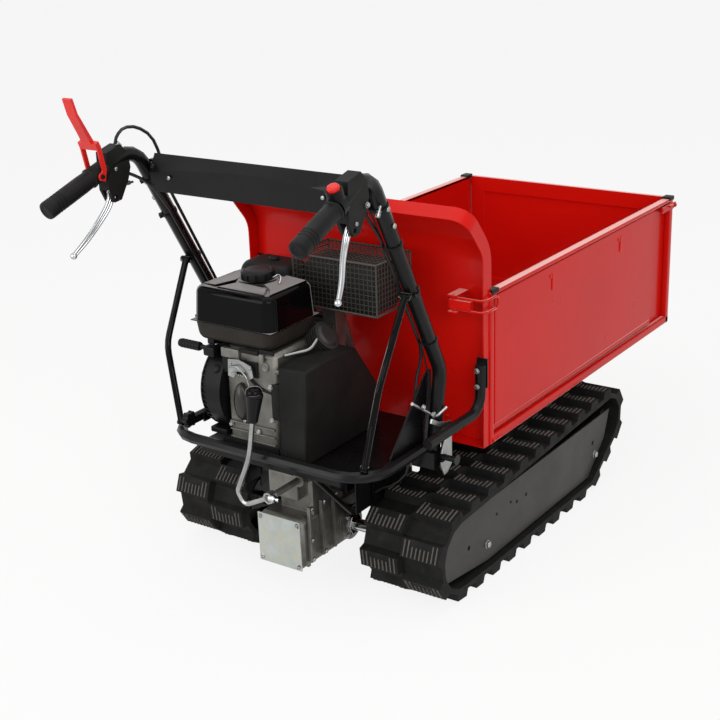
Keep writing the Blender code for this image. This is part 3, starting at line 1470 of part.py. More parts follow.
def muffler_guard():
    """The pierced guard round the silencer, open below and held on pads."""
    x0, x1 = MUFFLER_LEFT - CAGE_MARGIN, MUFFLER_RIGHT + CAGE_MARGIN
    y0, y1 = MUFFLER_REAR - CAGE_MARGIN, MUFFLER_FRONT + CAGE_MARGIN
    z0, z1 = MUFFLER_BOTTOM + 0.004, MUFFLER_TOP + CAGE_MARGIN
    wall = 0.002
    base = box((x0, y0, z0), (x1, y1, z1), 0.006)
    inner = box((x0 + wall, y0 + wall, z0 - 0.01), (x1 - wall, y1 - wall, z1 - wall), 0.005)
    pads = []
    for x in (MUFFLER_LEFT + 0.030, MUFFLER_RIGHT - 0.030):
        for end, near in ((y0, MUFFLER_REAR - GAP), (y1, MUFFLER_FRONT + GAP)):
            centre = (x, MUFFLER_BOTTOM + 0.026)
            start = end + wall / 2 if near > end else end - wall / 2
            pads.append(rod("Y", start, near, centre, 0.008, PIN_SIDES))
    xs, ys, zs = (steps(a, b, CAGE_PITCH) for a, b in ((x0, x1), (y0, y1), (z0, z1)))
    side_cells = cells("X", x0 - 0.01, x1 + 0.01, ys, zs[1:])
    rear_cells = cells("Y", y0 - 0.01, y1 + 0.01, xs, zs[1:])
    top_cells = cells("Z", z0, z1 + 0.01, xs, ys)
    shell = piece("muffler_guard", BLACK_PAINT, base, (), [inner, side_cells, rear_cells, top_cells])
    for number, pad in enumerate(pads):
        join = shell.modifiers.new(f"pad {number}", "BOOLEAN")
        join.operation = "UNION"
        join.solver = "EXACT"
        join.object = pad
    return shell


def belt_cover():
    """The drive belt's folded cover, open towards the engine."""
    low = DECK_TOP + GAP
    outline = [
        (COVER_REAR, low),
        (COVER_FRONT, low),
        (COVER_FRONT, low + 0.085),
        (COVER_FRONT - 0.075, COVER_TOP),
        (COVER_REAR + 0.075, COVER_TOP + 0.004),
        (COVER_REAR + 0.006, COVER_TOP),
    ]
    base = plate("X", COVER_LEFT, COVER_RIGHT, outline)
    soften(base, 0.006, 1)
    inside = offset_outline(outline, COVER_SHEET)
    hollow = plate("X", COVER_LEFT - 0.01, COVER_RIGHT - COVER_SHEET, inside)
    return piece("belt_cover", BLACK_PAINT, base, (), [hollow])


def gearbox():
    """The gearbox under the deck: a case, a neck up to the deck, bearings and the selector shaft."""
    low = (-GEARBOX_HALF, GEARBOX_REAR, GEARBOX_LOW)
    base = box(low, (GEARBOX_HALF, GEARBOX_FRONT, GEARBOX_HIGH), 0.010, 1)
    low = (TOWER_LEFT, TOWER_REAR, GEARBOX_HIGH - 0.020)
    top = DECK_TOP - DECK_THICK - GAP
    adds = [box(low, (TOWER_RIGHT, TOWER_FRONT, top), 0.006)]
    bearing = GEARBOX_HALF + BEARING_REACH
    place = (SPROCKET_Y, SPROCKET_Z)
    adds.append(rod("X", -bearing, bearing, place, BEARING_RADIUS))
    for y in (GEARBOX_REAR + 0.030, GEARBOX_FRONT - 0.040):
        low = (-GEARBOX_HALF + 0.010, y, GEARBOX_LOW - 0.006)
        adds.append(box(low, (GEARBOX_HALF - 0.010, y + 0.008, GEARBOX_LOW + 0.010)))
    selector = (SELECTOR_X, SELECTOR_Z)
    adds.append(rod("Y", TOWER_REAR - 0.030, TOWER_REAR + 0.010, selector, SELECTOR_RADIUS * 2))
    adds.append(rod("Y", LEVER_Y - 0.009, TOWER_REAR, selector, SELECTOR_RADIUS, PIN_SIDES))
    return piece("gearbox", ALUMINIUM, base, adds)


def gearbox_cover():
    """The flat zinc-plated cover bolted on the gearbox's rear."""
    rear = GEARBOX_REAR - GAP
    inset = 0.002
    points = [
        (-GEARBOX_HALF + inset, GEARBOX_LOW + inset),
        (GEARBOX_HALF - inset, GEARBOX_LOW + inset),
        (GEARBOX_HALF - inset, GEARBOX_HIGH - inset),
        (-GEARBOX_HALF + inset, GEARBOX_HIGH - inset),
    ]
    edges = (-GEARBOX_HALF * 0.86, GEARBOX_HALF * 0.86)
    heights = (GEARBOX_LOW + 0.012, GEARBOX_HIGH - 0.012)
    holes = [(u, v, 0.003) for u in edges for v in heights]
    return piece("gearbox_cover", ZINC, plate("Y", rear - 0.003, rear, points, holes))


def gear_lever():
    """The bent selector rod, with its hub on the gearbox's shaft, and its knob."""
    hub = (SELECTOR_X, LEVER_Y, SELECTOR_Z)
    stops = [
        hub,
        (LEVER_LOW[0], LEVER_Y, LEVER_LOW[1]),
        (LEVER_LOW[0] - 0.016, LEVER_Y, LEVER_LOW[1] + 0.026),
        (LEVER_DECK[0], LEVER_Y, LEVER_DECK[1]),
    ]
    low = Vector((LEVER_TOP[0], LEVER_Y, LEVER_TOP[1]))
    heading = (low - Vector(stops[-1])).normalized()
    rod_end = low + heading * KNOB_LENGTH * 0.5
    stops.append(rod_end)
    base = pipe(bent(stops, (0.014, 0.014, 0.2), 3), LEVER_RADIUS, 1)
    place = (SELECTOR_X, SELECTOR_Z)
    ring = rod("Y", LEVER_Y - 0.008, LEVER_Y + 0.008, place, SELECTOR_RADIUS + 0.005, PIN_SIDES)
    hole = bore("Y", LEVER_Y, 0.02, *place, SELECTOR_RADIUS + GAP, PIN_SIDES)
    piece("gear_lever", ZINC, base, [ring], [hole], hub)
    neck = heading * KNOB_LENGTH * 0.72
    knob = rod_between(low, low + neck, KNOB_RADIUS * 0.62, 16, KNOB_RADIUS)
    cap = ball(low + neck, KNOB_RADIUS, (1, 1, 1.05))
    socket = rod_between(
        low - heading * 0.01, rod_end + heading * GAP, LEVER_RADIUS + GAP, 16
    )
    piece("gear_knob", BLACK_PLASTIC, knob, [cap], [socket], origin=low)


def star_knob():
    """A lobed hand knob on a stud that clamps the left strut to the guard."""
    low = guard_corner(-1) + Vector((0, 0, GUARD_RADIUS + GAP + STRUT_RADIUS))
    bend = Vector((-STRUT_BEND[0], *STRUT_BEND[1:]))
    z = GUARD_Z + GUARD_RADIUS + STAR_RADIUS + GAP
    place = low + (bend - low) * ((z - low.z) / (bend.z - low.z))
    seat = place.x + STRUT_RADIUS + STAR_SEAT
    x, y = seat + STAR_STEM, place.y
    base = rod("X", x, x + 0.012, (y, z), STAR_RADIUS * 0.80, 12)
    adds = []
    for k in range(STAR_LOBES):
        angle = 2 * math.pi * k / STAR_LOBES
        place = (y + STAR_RADIUS * 0.78 * math.cos(angle), z + STAR_RADIUS * 0.78 * math.sin(angle))
        adds.append(rod("X", x, x + 0.012, place, STAR_RADIUS * 0.22, 6))
    adds.append(rod("X", seat, x + 0.002, (y, z), STAR_RADIUS * 0.35, 8))
    return piece("star_knob", BLACK_PLASTIC, base, adds, origin=(x, y, z))


def slab(axis, near, far, low, high, draft=0.0):
    """A block along an axis between near and far; draft narrows its far end all round."""
    index = "XYZ".index(axis)
    shape = bmesh.new()
    bmesh.ops.create_cube(shape, size=1)
    for vert in shape.verts:
        ends = [high[k] if vert.co[k] > 0 else low[k] for k in range(2)]
        if vert.co.z > 0:
            ends = [e - draft if vert.co[k] > 0 else e + draft for k, e in enumerate(ends)]
        ends.insert(index, far if vert.co.z > 0 else near)
        vert.co = ends
    return helper("slab", mesh_from(shape, "slab"))


def cut_from(obj, cutter):
    """Cuts a shape before others are joined to it."""
    cut = obj.modifiers.new("cut", "BOOLEAN")
    cut.operation = "DIFFERENCE"
    cut.solver = "EXACT"
    cut.object = cutter


def headboard_angle():
    """How far the headboard's upper part leans from upright."""
    return math.atan2(HEADBOARD_LEAN, HEADBOARD_TOP - HEADBOARD_BEND_Z)


def headboard_face(depth, low, short):
    """The headboard's side view this deep behind its face, from a height to short of its top."""
    angle = headboard_angle()
    face = BOX_REAR_Y + SHEET
    corner = (0, face - depth, HEADBOARD_BEND_Z - depth * math.tan(angle / 2))
    up = Vector((0, -math.sin(angle), math.cos(angle)))
    back = Vector((0, -math.cos(angle), -math.sin(angle)))
    end = Vector((0, face - HEADBOARD_LEAN, HEADBOARD_TOP)) + back * depth - up * short
    path = bent([(0, face - depth, low), corner, end], HEADBOARD_BEND_RADIUS - depth, 4)
    return [(point.y, point.z) for point in path]


def headboard_block(near, far, half, low, short):
    """A block between two depths behind the headboard's face."""
    points = headboard_face(near, low, short) + headboard_face(far, low, short)[::-1]
    return plate("X", -half, half, points)


def round_corners(obj, inset):
    """Rounds the two upper corners of a headboard shape."""
    radius = HEADBOARD_CORNER - inset
    half, top = BOX_HALF - inset, HEADBOARD_TOP - inset
    pivot = (0, BOX_REAR_Y + SHEET - HEADBOARD_LEAN, HEADBOARD_TOP)
    past = 0.02
    arc = circle(half - radius, top - radius, radius, 5, 0, math.pi / 2)
    outside = [(half - radius, top + past), (half + past, top + past), (half + past, top - radius)]
    for side in SIDES.values():
        points = [(side * u, v) for u, v in arc + outside]
        cutter = plate("Y", pivot[1] - 2 * HEADBOARD_FLANGE, pivot[1] + HEADBOARD_FLANGE, points)
        cut_from(obj, tilted(cutter, pivot, headboard_angle()))


def load_box_body():
    """The floor with its ribs, pivot ears and hinge eyes, and the headboard pan, in one piece."""
    base = headboard_block(0, HEADBOARD_FLANGE, BOX_HALF, BOX_BOTTOM, 0)
    round_corners(base, 0)
    inner = headboard_block(
        SHEET, HEADBOARD_FLANGE + 0.01, BOX_HALF - SHEET, BOX_BOTTOM + SHEET, SHEET
    )
    round_corners(inner, SHEET)
    cut_from(base, inner)
    floor_top = BOX_BOTTOM + SHEET
    front = BOX_FRONT_Y - FLOOR_FRONT_CLEARANCE
    adds = [box((-FLOOR_HALF, BOX_REAR_Y + 0.001, BOX_BOTTOM), (FLOOR_HALF, front, floor_top))]
    cuts = []
    ear = circle(PIVOT_Y, PIVOT_Z, PIVOT_EAR_RADIUS, 12, math.pi, math.pi)
    ear += [(PIVOT_Y + 0.030, BOX_BOTTOM + 0.001), (PIVOT_Y - 0.030, BOX_BOTTOM + 0.001)]
    hole = [(PIVOT_Y, PIVOT_Z, PIVOT_SHAFT_RADIUS + GAP)]
    for side in SIDES.values():
        half = RIB_WIDTH / 2
        low, high = (RIB_REAR_Y, RAIL_TOP + GAP), (RIB_FRONT_Y, BOX_BOTTOM + 0.001)
        adds.append(span(side, RAIL_X - half, RAIL_X + half, low, high))
        x0, x1 = sorted((side * PIVOT_EAR_X, side * (PIVOT_EAR_X + PIVOT_EAR_THICK)))
        adds.append(plate("X", x0, x1, ear, hole))
        for y in SIDE_HINGES:
            ends = (y - HINGE_HALF, y + HINGE_HALF)
            adds.append(rod("Y", *ends, (side * HINGE_X, HINGE_Z), HINGE_EYE_RADIUS, PIN_SIDES))
            low, high = (ends[0], BOX_BOTTOM), (ends[1], floor_top)
            adds.append(span(side, FLOOR_HALF - 0.006, HINGE_X, low, high))
            cuts.append(bore("Y", y, HINGE_HALF * 2, side * HINGE_X, HINGE_Z, HINGE_BORE, PIN_SIDES))
        x0, x1 = sorted((side * FRONT_HINGE_X - HINGE_HALF, side * FRONT_HINGE_X + HINGE_HALF))
        adds.append(rod("X", x0, x1, (FRONT_HINGE_Y, HINGE_Z), HINGE_EYE_RADIUS, PIN_SIDES))
        adds.append(box((x0, front - 0.006, BOX_BOTTOM), (x1, FRONT_HINGE_Y, floor_top)))
        middle = side * FRONT_HINGE_X
        cuts.append(bore("X", middle, HINGE_HALF * 2, FRONT_HINGE_Y, HINGE_Z, HINGE_BORE, PIN_SIDES))
        rear = BOX_REAR_Y
        cuts.append(bore("Y", rear, 0.01, side * HINGE_X, HINGE_Z, HINGE_BORE, PIN_SIDES))
        adds += loop_bracket(side)
    return piece("load_box_body", GLOSS_RED, base, adds, cuts)


def loop_bracket(side):
    """The two ears behind the headboard that carry a wire-loop latch."""
    shapes = []
    x0, x1 = sorted((side * (LOOP_PIVOT_X - 0.010), side * (LOOP_PIVOT_X + 0.010)))
    hole = [(side * LOOP_PIVOT_X, LOOP_PIVOT_Y, LOOP_PIN_RADIUS + GAP)]
    face = BOX_REAR_Y + SHEET / 2
    outline = [(x0, LOOP_PIVOT_Y - 0.007), (x1, LOOP_PIVOT_Y - 0.007), (x1, face), (x0, face)]
    for end in (-1, 1):
        near, far = LOOP_Z + end * LOOP_EAR_NEAR, LOOP_Z + end * (LOOP_EAR_NEAR + 0.003)
        shapes.append(plate("Z", min(near, far), max(near, far), outline, hole))
    return shapes


def hinge_pins(axis, places, u, v):
    """On a panel: a pin through each hinge eye, with a knuckle at both ends of it."""
    shapes = []
    for place in places:
        pin = HINGE_HALF + HINGE_END
        shapes.append(rod(axis, place - pin, place + pin, (u, v), HINGE_PIN_RADIUS, PIN_SIDES))
        for end in (-1, 1):
            near = place + end * (HINGE_HALF + PANEL_END_GAP)
            far = near + end * HINGE_END
            shapes.append(rod(axis, *sorted((near, far)), (u, v), HINGE_EYE_RADIUS, PIN_SIDES))
    return shapes


def side_panel(side_name, side):
    """A hinged side panel: rims outwards all round, a raised middle and a ledge along its foot."""
    inner = side * (BOX_HALF - PANEL_DEPTH)
    sheet = side * (BOX_HALF - PANEL_DEPTH + SHEET)
    pan = side * (BOX_HALF - PANEL_DEPTH + SHEET + PANEL_PRESS)
    outer, past = side * BOX_HALF, side * 0.01
    low, high = (PANEL_REAR, BOX_BOTTOM), (BOX_FRONT_Y, BOX_TOP)
    base = slab("X", inner, outer, low, high)
    low, high = (low[0] + SHEET, low[1] + SHEET), (high[0] - SHEET, high[1] - SHEET)
    cut_from(base, slab("X", pan, outer + past, low, high))
    bay = slab("X", sheet, pan + past / 20, low, high)
    first = (PANEL_REAR + PANEL_REAR_BORDER, BOX_BOTTOM + PANEL_BOTTOM_BORDER)
    last = (BOX_FRONT_Y - PANEL_FRONT_BORDER, BOX_TOP - PANEL_TOP_BORDER)
    reach = side * OVERLAP
    cut_from(bay, slab("X", sheet - reach, pan + reach, first, last, PANEL_DRAFT))
    ledge_low = (low[0] - OVERLAP, low[1] - OVERLAP)
    ledge_high = (last[0], BOX_BOTTOM + PANEL_BOTTOM_BORDER / 2)
    cut_from(bay, slab("X", sheet - reach, sheet + reach * 1.5, ledge_low, ledge_high))
    cut_from(base, bay)
    inset = SHEET * 1.2
    first = (first[0] + inset, first[1] + inset)
    last = (last[0] - inset, last[1] - inset)
    cut_from(base, slab("X", inner - past, pan - side * SHEET, first, last, PANEL_DRAFT))
    cuts = []
    for y in SIDE_HINGES:
        reach = HINGE_HALF + PANEL_END_GAP
        top = HINGE_Z + HINGE_EYE_RADIUS + PANEL_END_GAP
        notch = span(side, FLOOR_HALF, BOX_HALF + 0.01, (y - reach, 0.2), (y + reach, top))
        cut_from(base, notch)
    for y, z in PANEL_SLOTS:
        slot = box((0, y - SLOT_HALF, z - 0.0035), (side * 0.4, y + SLOT_HALF, z + 0.0035))
        cuts.append(slot)
    adds = hinge_pins("Y", SIDE_HINGES, side * HINGE_X, HINGE_Z)
    rear = (PANEL_REAR - 0.010, PANEL_REAR + 0.010)
    adds.append(rod("Y", *rear, (side * HINGE_X, HINGE_Z), HINGE_PIN_RADIUS, PIN_SIDES))
    low = (KEEPER_Y - 0.0035, LOOP_Z - 0.006)
    high = (KEEPER_Y + 0.0035, LOOP_Z + 0.006)
    adds.append(span(side, BOX_HALF - OVERLAP, KEEPER_OUTER, low, high))
    boss = (LATCH_BAR_PIVOT_Y, LATCH_BAR_Z)
    ends = sorted((sheet - side * 0.001, outer))
    adds.append(rod("X", *ends, boss, LATCH_PIN_BOSS, PIN_SIDES))
    cuts.append(bore("X", outer, LATCH_PIN_DEPTH + GAP, *boss, STUD_RADIUS + GAP, PIN_SIDES))
    return piece(
        f"side_panel_{side_name}", GLOSS_RED, base, adds, cuts, (side * HINGE_X, 0, HINGE_Z)
    )


def front_panel():
    """The hinged front panel, with a lug and a stud at each end for the corner latches."""
    inner, outer = FRONT_INNER_Y, BOX_FRONT_Y
    sheet, pan = inner + SHEET, inner + SHEET + FRONT_PRESS
    low, high = (-FRONT_HALF, BOX_BOTTOM), (FRONT_HALF, BOX_TOP)
    base = slab("Y", inner, outer, low, high)
    low, high = (low[0] + SHEET, low[1] + SHEET), (high[0] - SHEET, high[1] - SHEET)
    cut_from(base, slab("Y", pan, outer + 0.01, low, high))
    bay = slab("Y", sheet, pan + 0.0005, low, high)
    first = (-FRONT_HALF + FRONT_BORDER, BOX_BOTTOM + PANEL_BOTTOM_BORDER)
    last = (FRONT_HALF - FRONT_BORDER, BOX_TOP - FRONT_BORDER)
    cut_from(bay, slab("Y", sheet - OVERLAP, pan + OVERLAP, first, last, PANEL_DRAFT))
    cut_from(base, bay)
    inset = SHEET * 1.2
    first, last = (first[0] + inset, first[1] + inset), (last[0] - inset, last[1] - inset)
    cut_from(base, slab("Y", inner - 0.01, pan - SHEET, first, last, PANEL_DRAFT))
    places = [side * FRONT_HINGE_X for side in SIDES.values()]
    for x in places:
        reach = HINGE_HALF + PANEL_END_GAP
        top = HINGE_Z + HINGE_EYE_RADIUS + PANEL_END_GAP
        cut_from(base, box((x - reach, 0.7, 0.2), (x + reach, 0.8, top)))
    adds = hinge_pins("X", places, FRONT_HINGE_Y, HINGE_Z)
    stud_y = BOX_FRONT_Y + STUD_FORWARD
    for side in SIDES.values():
        low = (outer - 0.003, LATCH_BAR_Z - 0.006)
        high = (stud_y + STUD_RADIUS, LATCH_BAR_Z + 0.006)
        adds.append(span(side, STUD_ROOT_X, FRONT_HALF - 0.002, low, high))
        ends = sorted((side * STUD_ROOT_X, side * STUD_END_X))
        adds.append(rod("X", *ends, (stud_y, LATCH_BAR_Z), STUD_RADIUS, PIN_SIDES))
    return piece("front_panel", GLOSS_RED, base, adds, (), (0, FRONT_HINGE_Y, HINGE_Z))


def front_latch(side_name, side):
    """A red hook on a side panel's outside that drops over the front panel's stud."""
    near = BOX_HALF + GAP
    stud_y = BOX_FRONT_Y + STUD_FORWARD
    half, throat = LATCH_BAR_WIDTH / 2, STUD_RADIUS + GAP
    y, z = LATCH_BAR_PIVOT_Y, LATCH_BAR_Z
    tail = circle(y, z, half, 5, math.pi / 2, math.pi)
    arch = circle(stud_y, z, throat, 6, math.pi, -math.pi)
    nose = stud_y + throat + 0.004
    outline = tail + [(stud_y - throat, z - half)] + arch
    outline += [(stud_y + throat, z - half), (nose, z - half + 0.002), (nose, z + half - 0.003)]
    outline += [(nose - 0.004, z + half)]
    x0, x1 = sorted((side * near, side * (near + LATCH_BAR_THICK)))
    base = plate("X", x0, x1, outline)
    thumb = span(
        side,
        near + LATCH_BAR_THICK - 0.001,
        near + LATCH_BAR_THICK + 0.007,
        (y + 0.030, z + half - 0.004),
        (y + 0.050, z + half),
    )
    pin_near = BOX_HALF - LATCH_PIN_DEPTH
    ends = sorted((side * pin_near, side * (near + LATCH_BAR_THICK + 0.0015)))
    pin = rod("X", *ends, (y, z), STUD_RADIUS, PIN_SIDES)
    return piece(
        f"front_latch_{side_name}", RED_PLASTIC, base, [thumb, pin], origin=(side * near, y, z)
    )


def headboard_latch(side_name, side):
    """A red toggle with a wire loop that reaches round the corner to the side panel's keeper."""
    x, y = side * LOOP_PIVOT_X, LOOP_PIVOT_Y
    far, ahead = side * LOOP_FAR_X, KEEPER_Y + 0.0035 + LOOP_WIRE + RUNNING_GAP
    low, high = LOOP_Z - LOOP_HALF, LOOP_Z + LOOP_HALF
    corners = [
        (x, y, low),
        (far, y, low),
        (far, ahead, low),
        (far, ahead, high),
        (far, y, high),
        (x, y, high),
    ]
    base = pipe(bent(corners, [0.010, 0.006, 0.006, 0.010], 1), LOOP_WIRE, 1)
    barrel = rod("Z", low - LOOP_WIRE, high + LOOP_WIRE, (x, y), LOOP_WIRE * 2.2, 8)
    reach = LOOP_EAR_NEAR + 0.004
    pin = rod("Z", LOOP_Z - reach, LOOP_Z + reach, (x, y), LOOP_PIN_RADIUS, 8)
    handle = span(
        side,
        LOOP_PIVOT_X - 0.008,
        LOOP_PIVOT_X + 0.040,
        (y - 0.0055, LOOP_Z - LOOP_HALF + LOOP_WIRE + 0.001),
        (y + 0.0055, LOOP_Z + LOOP_HALF - LOOP_WIRE - 0.001),
    )
    return piece(
        f"headboard_latch_{side_name}", RED_PLASTIC, base, [barrel, pin, handle], (), (x, y, LOOP_Z)
    )


def tip_handle():
    """The bent tube bolted to the headboard's edge, that is lifted to tip the box."""
    seat = BOX_REAR_Y + SHEET - HEADBOARD_FLANGE - GAP
    low = (HANDLE_X - HANDLE_PLATE_HALF, seat - HANDLE_PLATE, HANDLE_TOP_Z - 0.050)
    high = (HANDLE_X + HANDLE_PLATE_HALF - 0.004, seat, HANDLE_TOP_Z + 0.010)
    base = box(low, high)
    y = seat - HANDLE_PLATE - HANDLE_RADIUS + OVERLAP
    path = [
        (HANDLE_X, y, HANDLE_TOP_Z),
        (HANDLE_X, y, HANDLE_LOW_Z),
        (HANDLE_X, HANDLE_END_Y, HANDLE_LOW_Z),
    ]
    tube = pipe(bent(path, HANDLE_BEND, 4), HANDLE_RADIUS, 2)
    place = (LATCH_PIVOT_Y, HANDLE_LOW_Z)
    stub = rod("X", LATCH_X - 0.0006, HANDLE_X - HANDLE_RADIUS + OVERLAP, place, STUD_RADIUS, PIN_SIDES)
    head = rod("X", LATCH_X - 0.0022, LATCH_X - 0.0005, place, STUD_RADIUS * 1.5, PIN_SIDES)
    return piece("tip_handle", BLACK_PAINT, base, [tube, stub, head])


def tip_latch():
    """The zinc hook on the tip handle that holds the chassis pin from below, with its thumb arm."""
    y, z = LATCH_PIVOT_Y, HANDLE_LOW_Z
    pin_y, pin_z = LATCH_PIN_Y, LATCH_PIN_Z
    throat = LATCH_PIN_RADIUS + RUNNING_GAP
    mouth = circle(pin_y, pin_z, throat, 6, math.pi / 2, -math.pi)
    outline = [
        (y + 0.011, z - 0.004),
        (y + 0.011, pin_z - 0.020),
        (pin_y + 0.008, pin_z - 0.034),
        (pin_y - 0.004, pin_z - 0.036),
        (pin_y - 0.012, pin_z - 0.020),
        (pin_y - 0.012, pin_z - throat),
    ]
    outline += mouth[::-1]
    outline += [
        (pin_y - 0.012, pin_z + throat + LATCH_MOUTH_RISE),
        (y - 0.013, pin_z + 0.034),
        (y - 0.011, z - 0.002),
        (y - 0.040, z + 0.012),
        (y - 0.062, z + 0.026),
        (y - 0.058, z + 0.034),
        (y - 0.036, z + 0.021),
        (y - 0.006, z + 0.010),
        (y + 0.006, z + 0.010),
    ]
    hole = [(y, z, STUD_RADIUS + GAP)]
    base = plate("X", LATCH_X, LATCH_X + LATCH_THICK, outline, hole)
    return piece("tip_latch", ZINC, base, origin=(LATCH_X, y, z))


def beside_bar(side, z, angle):
    """A cable's centre on the inner side of a handlebar's long run, turned forwards by an angle."""
    foot = Vector((side * BAR_KNEE[0], *BAR_KNEE[1:]))
    top = Vector((side * BAR_TOP[0], *BAR_TOP[1:]))
    along = (top - foot).normalized()
    ahead = Vector((0, along.z, -along.y))
    reach = BAR_RADIUS + CABLE_RADIUS + RUNNING_GAP
    inner = Vector((-side, 0, 0))
    turn = math.radians(angle)
    return bar_main_at(side, z) + (inner * math.cos(turn) + ahead * math.sin(turn)) * reach


def cable(name, before, side, heights, angle, after):
    """A control cable: free to the handlebar, clipped down its inner side, then on to its end."""
    run = [tuple(beside_bar(side, z, angle)) for z in heights]
    points = [tuple(p) for p in before] + run + [tuple(p) for p in after]
    return piece(name, CABLE_BLACK, pipe(smooth(points), CABLE_RADIUS, 2))


def smooth(points, rounds=1):
    """Cuts the corners of a path, keeping its first and last straight pieces."""
    points = [Vector(p) for p in points]
    for _ in range(rounds):
        path = [points[0]]
        for a, b in zip(points, points[1:]):
            path += [a + (b - a) * 0.25, a + (b - a) * 0.75]
        path.append(points[-1])
        points = path
    return thinned(points)


def thinned(points):
    """Leaves out the points where a path turns by less than the least turn."""
    kept = [points[0]]
    for point, after in zip(points[1:], points[2:]):
        if (point - kept[-1]).angle(after - point) > LEAST_TURN:
            kept.append(point)
    return kept + [points[-1]]


def steering_cable(side_name, side):
    """From the lever bracket's front, down the handlebar and under the rail to the gearbox."""
    bracket = bar_at(side, BRACKET_Y)
    start = Vector((bracket.x, bracket.y + 0.0305, bracket.z - 0.0255))
    before = [start]
    for inward, y, z in STEERING_CABLE_TOP:
        before.append((bracket.x - side * inward, bracket.y + y, bracket.z + z))
    after = [(side * x, y, z) for x, y, z in STEERING_CABLE_LOW]
    after.append((side * (GEARBOX_HALF + GAP * 2), *STEERING_CABLE_LOW[-1][1:]))
    heights = CABLE_HEIGHTS
    return cable(f"{side_name}_steering_cable", before, side, heights, -CABLE_TURN, after)


def drive_cable():
    """From the left bracket's top, behind the control panel and down to the belt cover."""
    bracket = bar_at(-1, BRACKET_Y)
    before = [(bracket.x + x, bracket.y + y, bracket.z + z) for x, y, z in DRIVE_CABLE_TOP]
    return cable("drive_cable", before, -1, CABLE_HEIGHTS, CABLE_TURN, DRIVE_CABLE_LOW)


def main():
    """Builds every sub-part."""
    start_scene()
    chassis_frame()
    engine_deck()
    deck_guard()
    engine_block()
    fuel_tank()
    fuel_cap()
    recoil_housing()
    recoil_grip()
    air_filter_cover()
    muffler()
    muffler_guard()
    belt_cover()
    gearbox()
    gearbox_cover()
    gear_lever()
    control_panel()
    stop_switch()
    drive_lever()
    star_knob()
    load_box_body()
    front_panel()
    tip_handle()
    tip_latch()
    drive_cable()
    for side_name, side in SIDES.items():
        track_belt(side_name, side)
        sprocket(side_name, side)
        axle(side_name, side)
        idler(side_name, side)
        rollers(side_name, side)
        track_cover(side_name, side)
        handlebar(side_name, side)
        grip(side_name, side)
        strut(side_name, side)
        lever_bracket(side_name, side)
        steering_lever(side_name, side)
        side_panel(side_name, side)
        front_latch(side_name, side)
        headboard_latch(side_name, side)
        steering_cable(side_name, side)


if __name__ == "__main__":
    main()
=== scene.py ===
"""The looks of a tracked power carrier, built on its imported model.

Metres, +Z up. The handlebars are at -Y and the load box at +Y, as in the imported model.
"""

import json
import logging
import math
from contextlib import contextmanager
from dataclasses import dataclass, field
from enum import Enum
from typing import Callable, Iterator, Optional, Sequence

import bpy
import numpy as np
from mathutils import Matrix, Vector


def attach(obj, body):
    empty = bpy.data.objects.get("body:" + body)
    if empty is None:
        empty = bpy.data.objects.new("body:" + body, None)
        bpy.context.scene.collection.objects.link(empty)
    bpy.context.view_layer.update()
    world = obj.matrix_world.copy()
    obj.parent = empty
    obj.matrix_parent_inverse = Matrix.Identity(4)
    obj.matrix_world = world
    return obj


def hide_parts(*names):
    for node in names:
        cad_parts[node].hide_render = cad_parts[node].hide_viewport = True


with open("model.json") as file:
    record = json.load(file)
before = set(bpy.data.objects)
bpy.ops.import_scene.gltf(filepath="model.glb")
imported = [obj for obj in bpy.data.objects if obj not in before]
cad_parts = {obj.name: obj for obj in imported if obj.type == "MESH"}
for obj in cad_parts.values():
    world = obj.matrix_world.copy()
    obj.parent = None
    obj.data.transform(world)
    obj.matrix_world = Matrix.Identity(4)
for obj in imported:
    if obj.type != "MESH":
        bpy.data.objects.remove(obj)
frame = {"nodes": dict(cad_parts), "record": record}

log = logging.getLogger("power_carrier")
MM = 0.001
WELD = 0.01 * MM
CAD_WELD = 0.02 * MM
CAD_FLAT_DEG = 1.0
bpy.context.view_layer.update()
BODY_OF = {
    node: body
    for body, nodes in frame["record"]["behaviour"]["bodies"].items()
    for node in nodes
}
SIDES = {"left": -1, "right": 1}
Point = Sequence[float]
Piece = bpy.types.Object


def linear(code: str) -> tuple[float, float, float, float]:
    """Turns an sRGB hex colour into the linear one that Blender wants.

    Args:
        code: Six hex digits.

    Returns:
        Linear red, green and blue, with an alpha of 1.
    """
    shades = [int(code[k:k + 2], 16) / 255 for k in (0, 2, 4)]
    made = [s / 12.92 if s <= 0.04045 else ((s + 0.055) / 1.055) ** 2.4 for s in shades]
    return (*made, 1.0)


def add_node(tree: bpy.types.NodeTree, kind: str, links: Optional[dict] = None,
             values: Optional[dict] = None, **settings: object) -> bpy.types.Node:
    """Adds a node with its settings, its fixed inputs and its links.

    Args:
        tree: The node tree that gets it.
        kind: The node's type name.
        links: Output sockets by the name or number of the input that they feed.
        values: Values by the name or number of the input that they set.
        settings: Properties of the node itself.

    Returns:
        The new node.
    """
    node = tree.nodes.new(kind)
    for name, value in settings.items():
        setattr(node, name, value)
    for name, value in (values or {}).items():
        node.inputs[name].default_value = value
    for name, source in (links or {}).items():
        tree.links.new(source, node.inputs[name])
    return node


